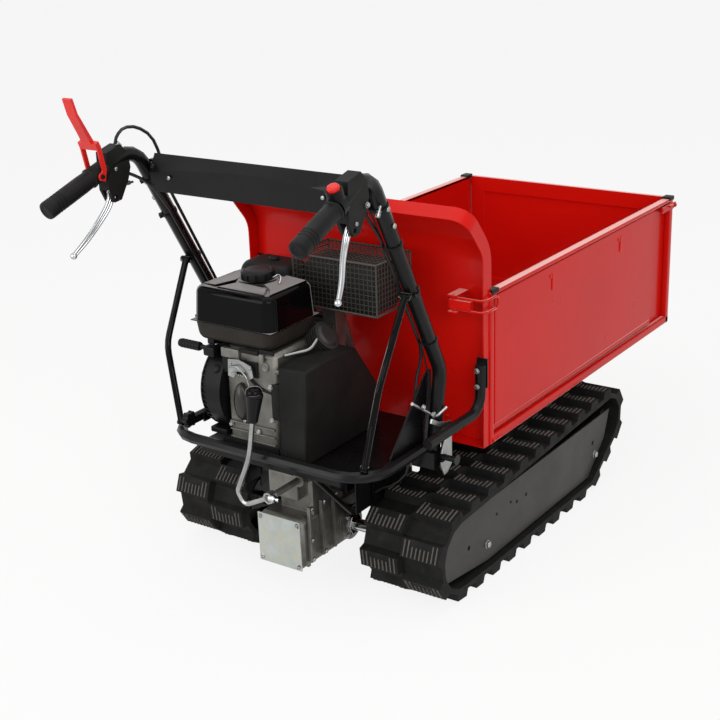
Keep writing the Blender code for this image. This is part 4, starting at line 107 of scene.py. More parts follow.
@dataclass(frozen=True)
class Finish:
    """One surface: what it is made of, how it was made and how it looks.

    The colour drifts towards the shade in soft patches, the roughness drifts with it, and a
    grain stands in the surface. All sizes are in millimetres. The real grain of powder coat,
    moulded plastic and plate is 0.1 to 0.5 mm and wouldn't show in the render, so it is drawn
    at 0.8 to 1.5 mm. A glossy finish may have a painted reflection: a pale colour, painted_glance,
    which it pales to in a band of shallow viewing angles, from painted_glance_from to
    painted_glance_fade. This painted reflection is in the colour and follows the viewing angle: it
    moves in other views, and a bake doesn't hold it. A finish with no such colour has none.
    """

    name: str
    slot: str
    colour: str
    shade: str
    roughness: float
    metallic: float = 0.0
    drift: float = 0.06
    patch_mm: float = 70.0
    grain_mm: float = 1.5
    grain_height_mm: float = 0.05
    coat: float = 0.0
    coat_roughness: float = 0.05
    specular: float = 0.5
    painted_glance: str = ""
    painted_glance_share: float = 0.8
    painted_glance_from: float = 0.655
    painted_glance_rise: float = 0.045
    painted_glance_fade: tuple = (0.78, 0.83)
    shade_range: tuple = (0.35, 0.68)
    wear_range: tuple = (0.3, 0.7)
    wear_per_patch: float = 2.5
    least_roughness: float = 0.02

    def paint_glance_reflection(self, tree: bpy.types.NodeTree, colour: bpy.types.NodeSocket) -> object:
        """Paints a reflection into the colour: pales it in a band of shallow angles, like a
        mirrored bright room.

        Args:
            tree: The material's nodes.
            colour: The socket with the plain colour.

        Returns:
            The socket with the paled colour.
        """
        facing = add_node(tree, "ShaderNodeLayerWeight", values={"Blend": 0.5})
        share = add_node(tree, "ShaderNodeMapRange", {"Value": facing.outputs["Facing"]},
                         {"From Min": self.painted_glance_from,
                          "From Max": self.painted_glance_from + self.painted_glance_rise,
                          "To Max": self.painted_glance_share})
        edge = add_node(tree, "ShaderNodeMapRange", {"Value": facing.outputs["Facing"]},
                        {"From Min": self.painted_glance_fade[0], "From Max": self.painted_glance_fade[1],
                         "To Min": 1.0, "To Max": 0.0})
        both = add_node(tree, "ShaderNodeMath", {0: share.outputs[0], 1: edge.outputs[0]},
                        operation="MULTIPLY")
        mix = add_node(tree, "ShaderNodeMix", {0: both.outputs[0], 6: colour},
                       {7: linear(self.painted_glance)}, data_type="RGBA")
        return mix.outputs[2]

    def pattern(self, tree: bpy.types.NodeTree, place: bpy.types.NodeSocket) -> tuple:
        """The colour and the height over the surface.

        Args:
            tree: The material's nodes.
            place: The socket with the object coordinates.

        Returns:
            The colour socket and the height socket.
        """
        patch = add_node(tree, "ShaderNodeTexNoise", {"Vector": place},
                         {"Scale": 1000 / self.patch_mm, "Detail": 3.0, "Roughness": 0.55})
        ramp = add_node(tree, "ShaderNodeMapRange", {"Value": patch.outputs["Fac"]},
                        {"From Min": self.shade_range[0], "From Max": self.shade_range[1]})
        mix = add_node(tree, "ShaderNodeMix", {0: ramp.outputs[0]},
                       {6: linear(self.colour), 7: linear(self.shade)}, data_type="RGBA")
        grain = add_node(tree, "ShaderNodeTexNoise", {"Vector": place},
                         {"Scale": 1000 / self.grain_mm, "Detail": 2.0, "Roughness": 0.5})
        return mix.outputs[2], grain.outputs["Fac"]

    def material(self) -> bpy.types.Material:
        """The material of this finish, made the first time that it is asked for.

        Returns:
            The material.
        """
        known = bpy.data.materials.get(self.name)
        if known:
            return known
        made = bpy.data.materials.new(self.name)
        made.use_nodes = True
        made.diffuse_color = linear(self.colour)
        tree = made.node_tree
        shader = tree.nodes["Principled BSDF"]
        shader.inputs["Metallic"].default_value = self.metallic
        shader.inputs["Coat Weight"].default_value = self.coat
        shader.inputs["Coat Roughness"].default_value = self.coat_roughness
        shader.inputs["Specular IOR Level"].default_value = self.specular
        place = add_node(tree, "ShaderNodeTexCoord").outputs["Object"]
        colour, height = self.pattern(tree, place)
        if self.painted_glance:
            colour = self.paint_glance_reflection(tree, colour)
        tree.links.new(colour, shader.inputs["Base Color"])
        wear = add_node(tree, "ShaderNodeTexNoise", {"Vector": place},
                        {"Scale": 1000 * self.wear_per_patch / self.patch_mm, "Detail": 4.0,
                         "Roughness": 0.6})
        rough = add_node(tree, "ShaderNodeMapRange", {"Value": wear.outputs["Fac"]},
                         {"From Min": self.wear_range[0], "From Max": self.wear_range[1],
                          "To Min": max(self.roughness - self.drift, self.least_roughness),
                          "To Max": self.roughness + self.drift})
        tree.links.new(rough.outputs[0], shader.inputs["Roughness"])
        bump = add_node(tree, "ShaderNodeBump", {"Height": height},
                        {"Strength": 1.0, "Distance": self.grain_height_mm * MM})
        tree.links.new(bump.outputs["Normal"], shader.inputs["Normal"])
        return made


@dataclass(frozen=True)
class TrackRubber(Finish):
    """Moulded and driven rubber: grey dust settles on it in soft patches."""

    dust: str = "4a453f"
    dust_share: float = 0.45
    clouds_per_m: float = 45.0
    cloud_range: tuple = (0.5, 0.75)

    def pattern(self, tree: bpy.types.NodeTree, place: bpy.types.NodeSocket) -> tuple:
        """The rubber's colour with dust on it, and its pitted height.

        Args:
            tree: The material's nodes.
            place: The socket with the object coordinates.

        Returns:
            The colour socket and the height socket.
        """
        base, height = super().pattern(tree, place)
        cloud = add_node(tree, "ShaderNodeTexNoise", {"Vector": place},
                         {"Scale": self.clouds_per_m, "Detail": 5.0, "Roughness": 0.65})
        amount = add_node(tree, "ShaderNodeMapRange", {"Value": cloud.outputs["Fac"]},
                          {"From Min": self.cloud_range[0], "From Max": self.cloud_range[1],
                           "To Max": self.dust_share})
        mix = add_node(tree, "ShaderNodeMix", {0: amount.outputs[0], 6: base},
                       {7: linear(self.dust)}, data_type="RGBA")
        return mix.outputs[2], height


@dataclass(frozen=True)
class Passivated(Finish):
    """Zinc plate under a yellow chromate film: bluish and straw-coloured clouds."""

    straw: str = "c8bd92"
    straw_share: float = 0.8
    clouds_per_m: float = 38.0
    cloud_range: tuple = (0.42, 0.66)

    def pattern(self, tree: bpy.types.NodeTree, place: bpy.types.NodeSocket) -> tuple:
        """The clouded colour and the fine grain of the plate.

        Args:
            tree: The material's nodes.
            place: The socket with the object coordinates.

        Returns:
            The colour socket and the height socket.
        """
        base, height = super().pattern(tree, place)
        cloud = add_node(tree, "ShaderNodeTexNoise", {"Vector": place},
                         {"Scale": self.clouds_per_m, "Detail": 1.5, "Distortion": 1.2})
        amount = add_node(tree, "ShaderNodeMapRange", {"Value": cloud.outputs["Fac"]},
                          {"From Min": self.cloud_range[0], "From Max": self.cloud_range[1],
                           "To Max": self.straw_share})
        mix = add_node(tree, "ShaderNodeMix", {0: amount.outputs[0], 6: base},
                       {7: linear(self.straw)}, data_type="RGBA")
        return mix.outputs[2], height


@dataclass(frozen=True)
class MirrorPlate(Finish):
    """Polished plate: round pieces show the bright room, with a painted dark reflection band
    between.

    The band is in the colour and follows the viewing angle: it moves in other views, and a bake
    doesn't hold it.
    """

    # The colour of the painted dark reflection band
    band: str = "1c1d1f"
    painted_band_rise: tuple = (0.44, 0.50)
    painted_band_fall: tuple = (0.60, 0.70)

    def pattern(self, tree: bpy.types.NodeTree, place: bpy.types.NodeSocket) -> tuple:
        """The plate's colour with its painted dark reflection band, and its faint waviness.

        Args:
            tree: The material's nodes.
            place: The socket with the object coordinates.

        Returns:
            The colour socket and the height socket.
        """
        base, height = super().pattern(tree, place)
        facing = add_node(tree, "ShaderNodeLayerWeight", values={"Blend": 0.5})
        rise = add_node(tree, "ShaderNodeMapRange", {"Value": facing.outputs["Facing"]},
                        {"From Min": self.painted_band_rise[0], "From Max": self.painted_band_rise[1]})
        fall = add_node(tree, "ShaderNodeMapRange", {"Value": facing.outputs["Facing"]},
                        {"From Min": self.painted_band_fall[0], "From Max": self.painted_band_fall[1],
                         "To Min": 1.0, "To Max": 0.0})
        both = add_node(tree, "ShaderNodeMath", {0: rise.outputs[0], 1: fall.outputs[0]},
                        operation="MULTIPLY")
        mix = add_node(tree, "ShaderNodeMix", {0: both.outputs[0], 6: base},
                       {7: linear(self.band)}, data_type="RGBA")
        return mix.outputs[2], height


# Baked red enamel over pressed steel: even, saturated and glossy
# Its colour pales to a painted pale pink reflection at shallow viewing angles
RED_ENAMEL = Finish("red_baked_enamel", "gloss_red", "cf1108", "c60f07", 0.30, drift=0.03,
                    patch_mm=260, grain_mm=4.0, grain_height_mm=0.004, coat=0.12,
                    coat_roughness=0.08, specular=0.10, painted_glance="f9bcb4", painted_glance_share=0.85)
# Injection-moulded red nylon: bright, softly shiny, lightly textured
RED_NYLON = Finish("red_moulded_nylon", "red_plastic", "d9231c", "c91a15", 0.32,
                   grain_mm=0.9, grain_height_mm=0.02, specular=0.4)
# Satin black powder coat on bent tube and plate: dark, with a fine pebbled grain
POWDER_COAT = Finish("black_powder_coat", "black_paint", "0c0c0d", "111112", 0.30,
                     drift=0.05, grain_mm=1.1, grain_height_mm=0.02, specular=0.18)
# Stove enamel on the fuel tank, the struts and the gear lever's dome: deep black and glossy
# Its colour pales to a painted pale grey reflection at shallow viewing angles
BLACK_ENAMEL = Finish("black_stove_enamel", "gloss_black", "050506", "070708", 0.12,
                      drift=0.02, patch_mm=150, grain_mm=4.0, grain_height_mm=0.003, coat=0.20,
                      coat_roughness=0.03, specular=0.0, painted_glance="928e8c", painted_glance_share=0.9,
                      painted_glance_from=0.60)
# Satin undercoat on the tank's lower shell: a dull brown-black
UNDERCOAT = Finish("satin_black_undercoat", "gloss_black", "221e1b", "292522", 0.48,
                   grain_mm=1.2, grain_height_mm=0.01, specular=0.15)
# Heat-proof matt paint on the muffler: dull, dry and slightly brown
HEAT_PAINT = Finish("heat_proof_black_paint", "muffler_black", "12100e", "1a1714", 0.62,
                    grain_mm=0.8, grain_height_mm=0.04, specular=0.25)
# Drawn wire of the cage, painted thin: the grey metal shows through
CAGE_WIRE = Finish("thin_painted_wire", "muffler_black", "33332f", "3f3f3a", 0.45,
                   grain_mm=1.0, grain_height_mm=0.01, specular=0.4)
# Injection-moulded ABS and nylon covers: black with a spark-eroded texture
BLACK_MOULDED = Finish("black_moulded_abs", "black_plastic", "0b0b0c", "101011", 0.42,
                       grain_mm=0.9, grain_height_mm=0.025, specular=0.16)
# Soft moulded grip rubber: matt black
GRIP_RUBBER = Finish("moulded_grip_rubber", "grip_rubber", "0d0c0c", "131212", 0.50,
                     grain_mm=0.8, grain_height_mm=0.03, specular=0.16)
# Vulcanised track rubber: matt black with a little grey dust
TRACK_RUBBER = TrackRubber("vulcanised_track_rubber", "track_rubber", "0b0b0a", "11100f",
                           0.74, drift=0.08, grain_mm=1.2, grain_height_mm=0.10,
                           specular=0.2, dust="2c2926")
# The moulded ribs on each lug: the same rubber, drawn much paler grey
RIB_RUBBER = TrackRubber("scuffed_rib_rubber", "track_rubber", "54504c", "625e59", 0.80,
                         drift=0.05, grain_mm=1.0, grain_height_mm=0.08, specular=0.2,
                         dust="77716a")
# PVC sheath of the cables: soft black shine
CABLE_SHEATH = Finish("black_pvc_sheath", "cable_black", "0a0a0b", "101011", 0.38,
                      grain_mm=0.9, grain_height_mm=0.01, specular=0.35)
# Dark grey enamel on the flat track covers
COVER_ENAMEL = Finish("dark_grey_enamel", "cover_paint", "3d3a38", "373432", 0.45,
                      patch_mm=180, grain_mm=1.2, grain_height_mm=0.01, specular=0.2)
# Sand-cast iron, painted dark: coarse grain
CAST_IRON = Finish("painted_cast_iron", "cast_iron", "2a2826", "353230", 0.55, metallic=0.3,
                   grain_mm=1.8, grain_height_mm=0.15)
# Die-cast aluminium: grey, dry, with the grain of the mould
CAST_ALUMINIUM = Finish("die_cast_aluminium", "aluminium", "76746e", "5f5d58", 0.46,
                        metallic=0.75, drift=0.08, patch_mm=35, grain_mm=1.4,
                        grain_height_mm=0.08)
# Painted deep-drawn steel of covers and ducts: black and dull
# It also colours thin sheets that are painted shade on the engine's rear face
DARK_DUCT = Finish("dull_black_paint", "black_paint", "131212", "1c1b1a", 0.55,
                   grain_mm=1.0, grain_height_mm=0.03, specular=0.14)
# Grey-brown moulded nylon of the engine's oval cover: soft and waxy
WAXY_NYLON = Finish("grey_brown_nylon", "black_plastic", "24211e", "2e2a25", 0.30,
                    patch_mm=30, grain_mm=1.0, grain_height_mm=0.01, specular=0.4)
# Chrome plate on the levers and shafts: mirror bright, with one painted dark reflection band on
# round pieces
CHROME = MirrorPlate("chrome_plate", "chrome", "c9cbcd", "b9bbbd", 0.12, metallic=1.0,
                     drift=0.03, grain_mm=3.0, grain_height_mm=0.004)
# Bright zinc plate on bolts and brackets: blue-white and slightly cloudy
ZINC = Finish("bright_zinc_plate", "zinc", "a5a6a4", "8f9190", 0.32, metallic=0.95,
              patch_mm=25, grain_mm=0.9, grain_height_mm=0.02)
# Zinc plate with a pale chromate film on the gearbox cover
CHROMATE = Passivated("pale_chromate_zinc", "zinc", "b6bbb9", "a6acab", 0.42, metallic=0.6,
                      patch_mm=30, grain_mm=0.9, grain_height_mm=0.02, straw="b3b3a0")


def clear_selection() -> None:
    """Leaves nothing selected."""
    bpy.ops.object.select_all(action="DESELECT")


def pick(obj: Piece) -> Piece:
    """Makes one object the only selected and the active one.

    Args:
        obj: The object.

    Returns:
        The same object.
    """
    clear_selection()
    obj.select_set(True)
    bpy.context.view_layer.objects.active = obj
    return obj


@contextmanager
def editing(obj: Piece, chosen: Optional[Callable] = None) -> Iterator[None]:
    """Edit mode on one object, with all or only some of its faces selected.

    Args:
        obj: The object to edit.
        chosen: A test of a face's centre and normal. None selects every face.

    Returns:
        The context, which is back in object mode after its block.
    """
    pick(obj)
    bpy.ops.object.mode_set(mode="EDIT")
    bpy.ops.mesh.select_mode(type="FACE")
    bpy.ops.mesh.select_all(action="DESELECT" if chosen else "SELECT")
    if chosen:
        bpy.ops.object.mode_set(mode="OBJECT")
        for face in obj.data.polygons:
            face.select = chosen(face.center, face.normal)
        bpy.ops.object.mode_set(mode="EDIT")
    yield
    bpy.ops.object.mode_set(mode="OBJECT")


def modify(obj: Piece, kind: str, **settings: object) -> Piece:
    """Adds a modifier and applies it.

    Args:
        obj: The object that it changes.
        kind: The modifier's type.
        settings: The modifier's properties.

    Returns:
        The same object.
    """
    pick(obj)
    modifier = obj.modifiers.new(kind, kind)
    for name, value in settings.items():
        setattr(modifier, name, value)
    bpy.ops.object.modifier_apply(modifier=modifier.name)
    return obj


def settle(obj: Piece, smooth: float = 35.0, flat: bool = True) -> Piece:
    """Puts an object's place into its mesh and shades its soft edges smooth.

    Args:
        obj: The object.
        smooth: The angle in degrees up to which an edge is soft.
        flat: Whether its large faces are kept flat beside their rounded edges.

    Returns:
        The same object.
    """
    pick(obj)
    bpy.ops.object.transform_apply(location=True, rotation=True, scale=True)
    bpy.ops.object.shade_smooth_by_angle(angle=math.radians(smooth))
    return modify(obj, "WEIGHTED_NORMAL", weight=60, keep_sharp=True) if flat else obj


def ease(obj: Piece, width_mm: float, segments: int = 2, angle: float = 30.0) -> Piece:
    """Rounds the edges that are sharper than an angle.

    Args:
        obj: The object.
        width_mm: How wide the rounding is.
        segments: How many faces it has across.
        angle: The angle in degrees from which an edge is rounded.

    Returns:
        The same object.
    """
    return modify(obj, "BEVEL", width=width_mm * MM, segments=segments, limit_method="ANGLE",
                  angle_limit=math.radians(angle), use_clamp_overlap=True)


def raw_block(name: str, low: Point, high: Point) -> Piece:
    """A sharp block between two corners, to be shaped further.

    Args:
        name: The object's name.
        low: Its lowest corner.
        high: Its highest corner.

    Returns:
        The block.
    """
    clear_selection()
    low, high = Vector(low), Vector(high)
    bpy.ops.mesh.primitive_cube_add(size=1, location=(low + high) / 2)
    obj = bpy.context.object
    obj.name = name
    obj.scale = high - low
    bpy.ops.object.transform_apply(location=True, rotation=True, scale=True)
    return obj


def round_edges(obj: Piece, width_mm: float, segments: int, chosen: Callable) -> None:
    """Rounds some edges of a piece in edit mode.

    Args:
        obj: The piece.
        width_mm: How wide the rounding is.
        segments: How many faces it has across.
        chosen: A test of the two ends of an edge.
    """
    pick(obj)
    bpy.ops.object.mode_set(mode="EDIT")
    bpy.ops.mesh.select_mode(type="EDGE")
    bpy.ops.mesh.select_all(action="DESELECT")
    bpy.ops.object.mode_set(mode="OBJECT")
    for edge in obj.data.edges:
        edge.select = chosen(*(obj.data.vertices[k].co for k in edge.vertices))
    bpy.ops.object.mode_set(mode="EDIT")
    bpy.ops.mesh.bevel(offset=width_mm * MM, segments=segments)
    bpy.ops.object.mode_set(mode="OBJECT")


def block(name: str, low: Point, high: Point, edge_mm: float = 1.0) -> Piece:
    """A block between two corners, with eased edges.

    Args:
        name: The object's name.
        low: Its lowest corner.
        high: Its highest corner.
        edge_mm: How wide its edges are rounded.

    Returns:
        The block.
    """
    obj = raw_block(name, low, high)
    if edge_mm:
        ease(obj, edge_mm)
    return settle(obj)


def side_block(name: str, sign: int, x: tuple, y: tuple, z: tuple, edge_mm: float) -> Piece:
    """A block on one side of the machine, with eased edges.

    Args:
        name: The object's name.
        sign: The sign of X on that side.
        x: How far from the middle it starts and ends.
        y: Where it starts and ends along the machine.
        z: Where it starts and ends in height.
        edge_mm: How wide its edges are rounded.

    Returns:
        The block.
    """
    low_x, high_x = sorted((sign * x[0], sign * x[1]))
    return block(name, (low_x, y[0], z[0]), (high_x, y[1], z[1]), edge_mm)


def aim(axis: Point) -> Matrix:
    """The turn that takes +Z to a direction."""
    return Vector(axis).to_track_quat("Z", "Y").to_matrix().to_4x4()


def lathe(name: str, profile: Sequence[tuple[float, float]], at: Point = (0, 0, 0),
          axis: Point = (0, 0, 1), sides: int = 24, smooth: float = 35.0) -> Piece:
    """A turned piece: a disc that is extruded and resized from station to station.

    Args:
        name: The object's name.
        profile: Radius and height of each station, in millimetres, from the bottom up.
        at: Where its height of zero is.
        axis: Which way its height runs.
        sides: How many sides it has.
        smooth: The angle in degrees up to which an edge is soft.

    Returns:
        The turned piece.
    """
    clear_selection()
    radius, height = profile[0]
    bpy.ops.mesh.primitive_circle_add(vertices=sides, radius=radius * MM, fill_type="NGON",
                                      location=(0, 0, height * MM))
    obj = bpy.context.object
    obj.name = name
    bpy.ops.object.transform_apply(location=True, rotation=True, scale=True)
    with editing(obj):
        for (r0, h0), (r1, h1) in zip(profile, profile[1:]):
            bpy.ops.mesh.extrude_region_move(
                TRANSFORM_OT_translate={"value": (0, 0, (h1 - h0) * MM)})
            bpy.ops.transform.resize(value=(r1 / r0, r1 / r0, 1))
        bpy.ops.mesh.select_all(action="SELECT")
        bpy.ops.mesh.remove_doubles(threshold=WELD)
        bpy.ops.mesh.normals_make_consistent(inside=False)
    obj.matrix_world = Matrix.Translation(Vector(at)) @ aim(axis)
    return settle(obj, smooth, flat=False)


def rounded(points: Sequence[Point], bend: float, steps: int = 6) -> list[Vector]:
    """The points with each inner corner rounded.

    Args:
        points: The corners of the path.
        bend: How far from a corner its rounding starts, at most.
        steps: How many points each rounding has.

    Returns:
        The rounded path.
    """
    points = [Vector(p) for p in points]
    path = [points[0]]
    for before, corner, after in zip(points, points[1:], points[2:]):
        into, out = before - corner, after - corner
        reach = min(bend, into.length * 0.48, out.length * 0.48)
        first, last = corner + into.normalized() * reach, corner + out.normalized() * reach
        for k in range(steps + 1):
            t = k / steps
            path.append(first * (1 - t) ** 2 + corner * 2 * t * (1 - t) + last * t ** 2)
    return path + [points[-1]]


def bar(name: str, points: Sequence[Point], radius_mm: float, bend: float = 0.0,
        closed: bool = False, fineness: int = 3, steps: int = 6) -> Piece:
    """A round bar or wire along a path.

    Args:
        name: The object's name.
        points: The corners of its path.
        radius_mm: Its radius.
        bend: How far from each corner the bend starts.
        closed: Whether its end meets its start.
        fineness: How fine its round section is.
        steps: How many points each bend has.

    Returns:
        The bar.
    """
    path = rounded(points, bend, steps) if bend else [Vector(p) for p in points]
    clear_selection()
    bpy.ops.curve.primitive_nurbs_path_add()
    obj = bpy.context.object
    obj.name = name
    curve = obj.data
    curve.splines.clear()
    spline = curve.splines.new("POLY")
    spline.points.add(len(path) - 1)
    for point, place in zip(spline.points, path):
        point.co = (*place, 1)
    spline.use_cyclic_u = closed
    curve.bevel_depth = radius_mm * MM
    curve.bevel_resolution = fineness
    curve.use_fill_caps = not closed
    bpy.ops.object.convert(target="MESH")
    with editing(obj):
        bpy.ops.mesh.remove_doubles(threshold=WELD)
        bpy.ops.mesh.normals_make_consistent(inside=False)
    return settle(obj, 50, flat=False)


OUTLINE_TURNS = {
    "X": Matrix(((0, 0, 1), (1, 0, 0), (0, 1, 0))),
    "Y": Matrix(((1, 0, 0), (0, 0, 1), (0, 1, 0))),
    "Z": Matrix.Identity(3),
}


def plate(name: str, outline: Sequence[tuple[float, float]], axis: str, low: float,
          high: float, edge_mm: float = 0.4) -> Piece:
    """A flat outline with a thickness along an axis.

    Args:
        name: The object's name.
        outline: Its corners, in the two other coordinates, in XYZ order.
        axis: The axis of its thickness.
        low: Where its thickness starts on that axis.
        high: Where its thickness ends.
        edge_mm: How wide its edges are rounded.

    Returns:
        The plate.
    """
    clear_selection()
    bpy.ops.mesh.primitive_circle_add(vertices=len(outline), radius=1, fill_type="NGON")
    obj = bpy.context.object
    obj.name = name
    for vertex, (u, v) in zip(obj.data.vertices, outline):
        vertex.co = OUTLINE_TURNS[axis] @ Vector((u, v, low))
    move = [0.0, 0.0, 0.0]
    move["XYZ".index(axis)] = high - low
    with editing(obj):
        bpy.ops.mesh.extrude_region_move(TRANSFORM_OT_translate={"value": move})
        bpy.ops.mesh.select_all(action="SELECT")
        bpy.ops.mesh.normals_make_consistent(inside=False)
    ease(obj, edge_mm)
    return settle(obj)


def copied(obj: Piece, name: str, move: Matrix) -> Piece:
    """A moved copy of a piece with its own mesh.

    Args:
        obj: The piece to copy.
        name: The copy's name.
        move: The matrix that takes the piece to its new place.

    Returns:
        The copy.
    """
    made = bpy.data.objects.new(name, obj.data.copy())
    bpy.context.scene.collection.objects.link(made)
    made.data.transform(move)
    if move.determinant() < 0:
        made.data.flip_normals()
    return made


def joined(name: str, pieces: Sequence[Piece]) -> Piece:
    """Joins pieces into one object.

    Args:
        name: The joined object's name.
        pieces: The pieces, which are used up.

    Returns:
        The joined object.
    """
    pick(pieces[0])
    for other in pieces[1:]:
        other.select_set(True)
    bpy.ops.object.join()
    pieces[0].name = name
    return pieces[0]


def dress(obj: Piece, finish: Finish, body: str, *nodes: str) -> Piece:
    """Gives a piece its finish and its body, and hides the nodes that it stands for.

    Args:
        obj: The piece.
        finish: What its surface is.
        body: The body that it moves with.
        nodes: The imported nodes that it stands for.

    Returns:
        The same piece.
    """
    obj.data.materials.clear()
    obj.data.materials.append(finish.material())
    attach(obj, body)
    if nodes:
        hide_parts(*nodes)
    log.info("%s: %s on %s", obj.name, finish.name, body)
    return obj


def redone(node: str, finish: Finish, edge_mm: float, segments: int = 2,
           smooth: float = 40.0) -> Piece:
    """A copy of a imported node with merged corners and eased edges, which stands for it.

    Its corners nearer than CAD_WELD are one, and faces within CAD_FLAT_DEG are one flat face.

    Args:
        node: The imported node.
        finish: What its surface is.
        edge_mm: How wide its edges are rounded; 0 leaves them sharp.
        segments: How many faces the rounding has across.
        smooth: The angle in degrees up to which an edge is shaded soft.

    Returns:
        The copy.
    """
    obj = bpy.data.objects.new(f"{node}_dressed", frame["nodes"][node].data.copy())
    bpy.context.scene.collection.objects.link(obj)
    with editing(obj):
        bpy.ops.mesh.remove_doubles(threshold=CAD_WELD)
        bpy.ops.mesh.dissolve_limited(angle_limit=math.radians(CAD_FLAT_DEG))
    if edge_mm:
        ease(obj, edge_mm, segments, max(smooth, 30))
    settle(obj, smooth, flat=edge_mm > 0)
    return dress(obj, finish, BODY_OF[node], node)


class Bolt(Enum):
    """The kinds of fastener on the machine."""

    HEX = "hex head on a washer"
    NUT = "lock nut with the end of its bolt"
    PAN = "pan-head screw"
    DOME = "domed carriage bolt"
    RIVET = "blind rivet"


# A washer, and the turned parts of each kind: a profile in millimetres for a head that is 10 mm
# across, its number of sides, and the angle up to which its edges are soft
WASHER = ([(6.6, 0), (6.6, 1.1), (6.2, 1.3), (4.0, 1.3)], 20, 35)
BOLT_PARTS = {
    Bolt.HEX: (WASHER, ([(5.5, 1.2), (5.5, 4.6), (4.7, 5.3), (2.0, 5.3), (1.8, 5.1)], 6, 20)),
    Bolt.NUT: (WASHER, ([(5.5, 1.2), (5.5, 5.4), (4.6, 6.0), (4.4, 7.4), (3.0, 7.6)], 6, 20),
               ([(2.8, 5.0), (2.8, 9.2), (2.2, 9.8)], 12, 35)),
    Bolt.PAN: (([(5.0, 0), (4.9, 1.6), (4.0, 2.9), (2.4, 3.4), (1.4, 3.4), (1.0, 2.2)], 16, 35),),
    Bolt.DOME: (([(5.6, 0), (5.4, 1.2), (4.2, 2.5), (2.2, 3.2), (0.8, 3.4)], 18, 35),),
    Bolt.RIVET: (([(5.0, 0), (4.6, 1.2), (3.0, 2.0), (1.4, 2.1), (1.2, 1.2)], 14, 35),),
}


@dataclass
class Fasteners:
    """Bolts, nuts, screws and rivets: each kind is modelled once and copied."""

    model_across_mm: float = 10.0
    spin_deg: float = 37.0
    models: dict = field(default_factory=dict)
    groups: dict = field(default_factory=dict)

    def model(self, kind: Bolt) -> Piece:
        """The fastener of a kind, 10 mm across, standing on z = 0.

        Args:
            kind: The kind of fastener.

        Returns:
            The object that the others are copied from.
        """
        if kind not in self.models:
            parts = [lathe("part", profile, sides=sides, smooth=smooth)
                     for profile, sides, smooth in BOLT_PARTS[kind]]
            made = joined(f"model_{kind.name.lower()}", parts)
            made.hide_render = True
            self.models[kind] = made
        return self.models[kind]

    def add(self, kind: Bolt, at: Point, axis: Point, size_mm: float = 10.0,
            body: str = "chassis", finish: Finish = ZINC) -> None:
        """Sets one fastener.

        Args:
            kind: The kind of fastener.
            at: The point of the surface that it sits on.
            axis: The way out of that surface.
            size_mm: How wide its head is.
            body: The body that it moves with.
            finish: Its finish.
        """
        scale = size_mm / self.model_across_mm
        spin = Matrix.Rotation(math.radians(self.spin_deg * len(self.groups)), 4, "Z")
        move = Matrix.Translation(Vector(at)) @ aim(axis) @ spin @ Matrix.Scale(scale, 4)
        made = copied(self.model(kind), "fastener", move)
        self.groups.setdefault((body, finish.name), (finish, []))[1].append(made)

    def place_all(self) -> None:
        """Joins the fasteners of each body and finish, and clears the models away."""
        for (body, _), (finish, pieces) in self.groups.items():
            dress(joined(f"fasteners_{body}_{finish.slot}", pieces), finish, body)
        for made in self.models.values():
            bpy.data.objects.remove(made)


BOLTS = Fasteners()


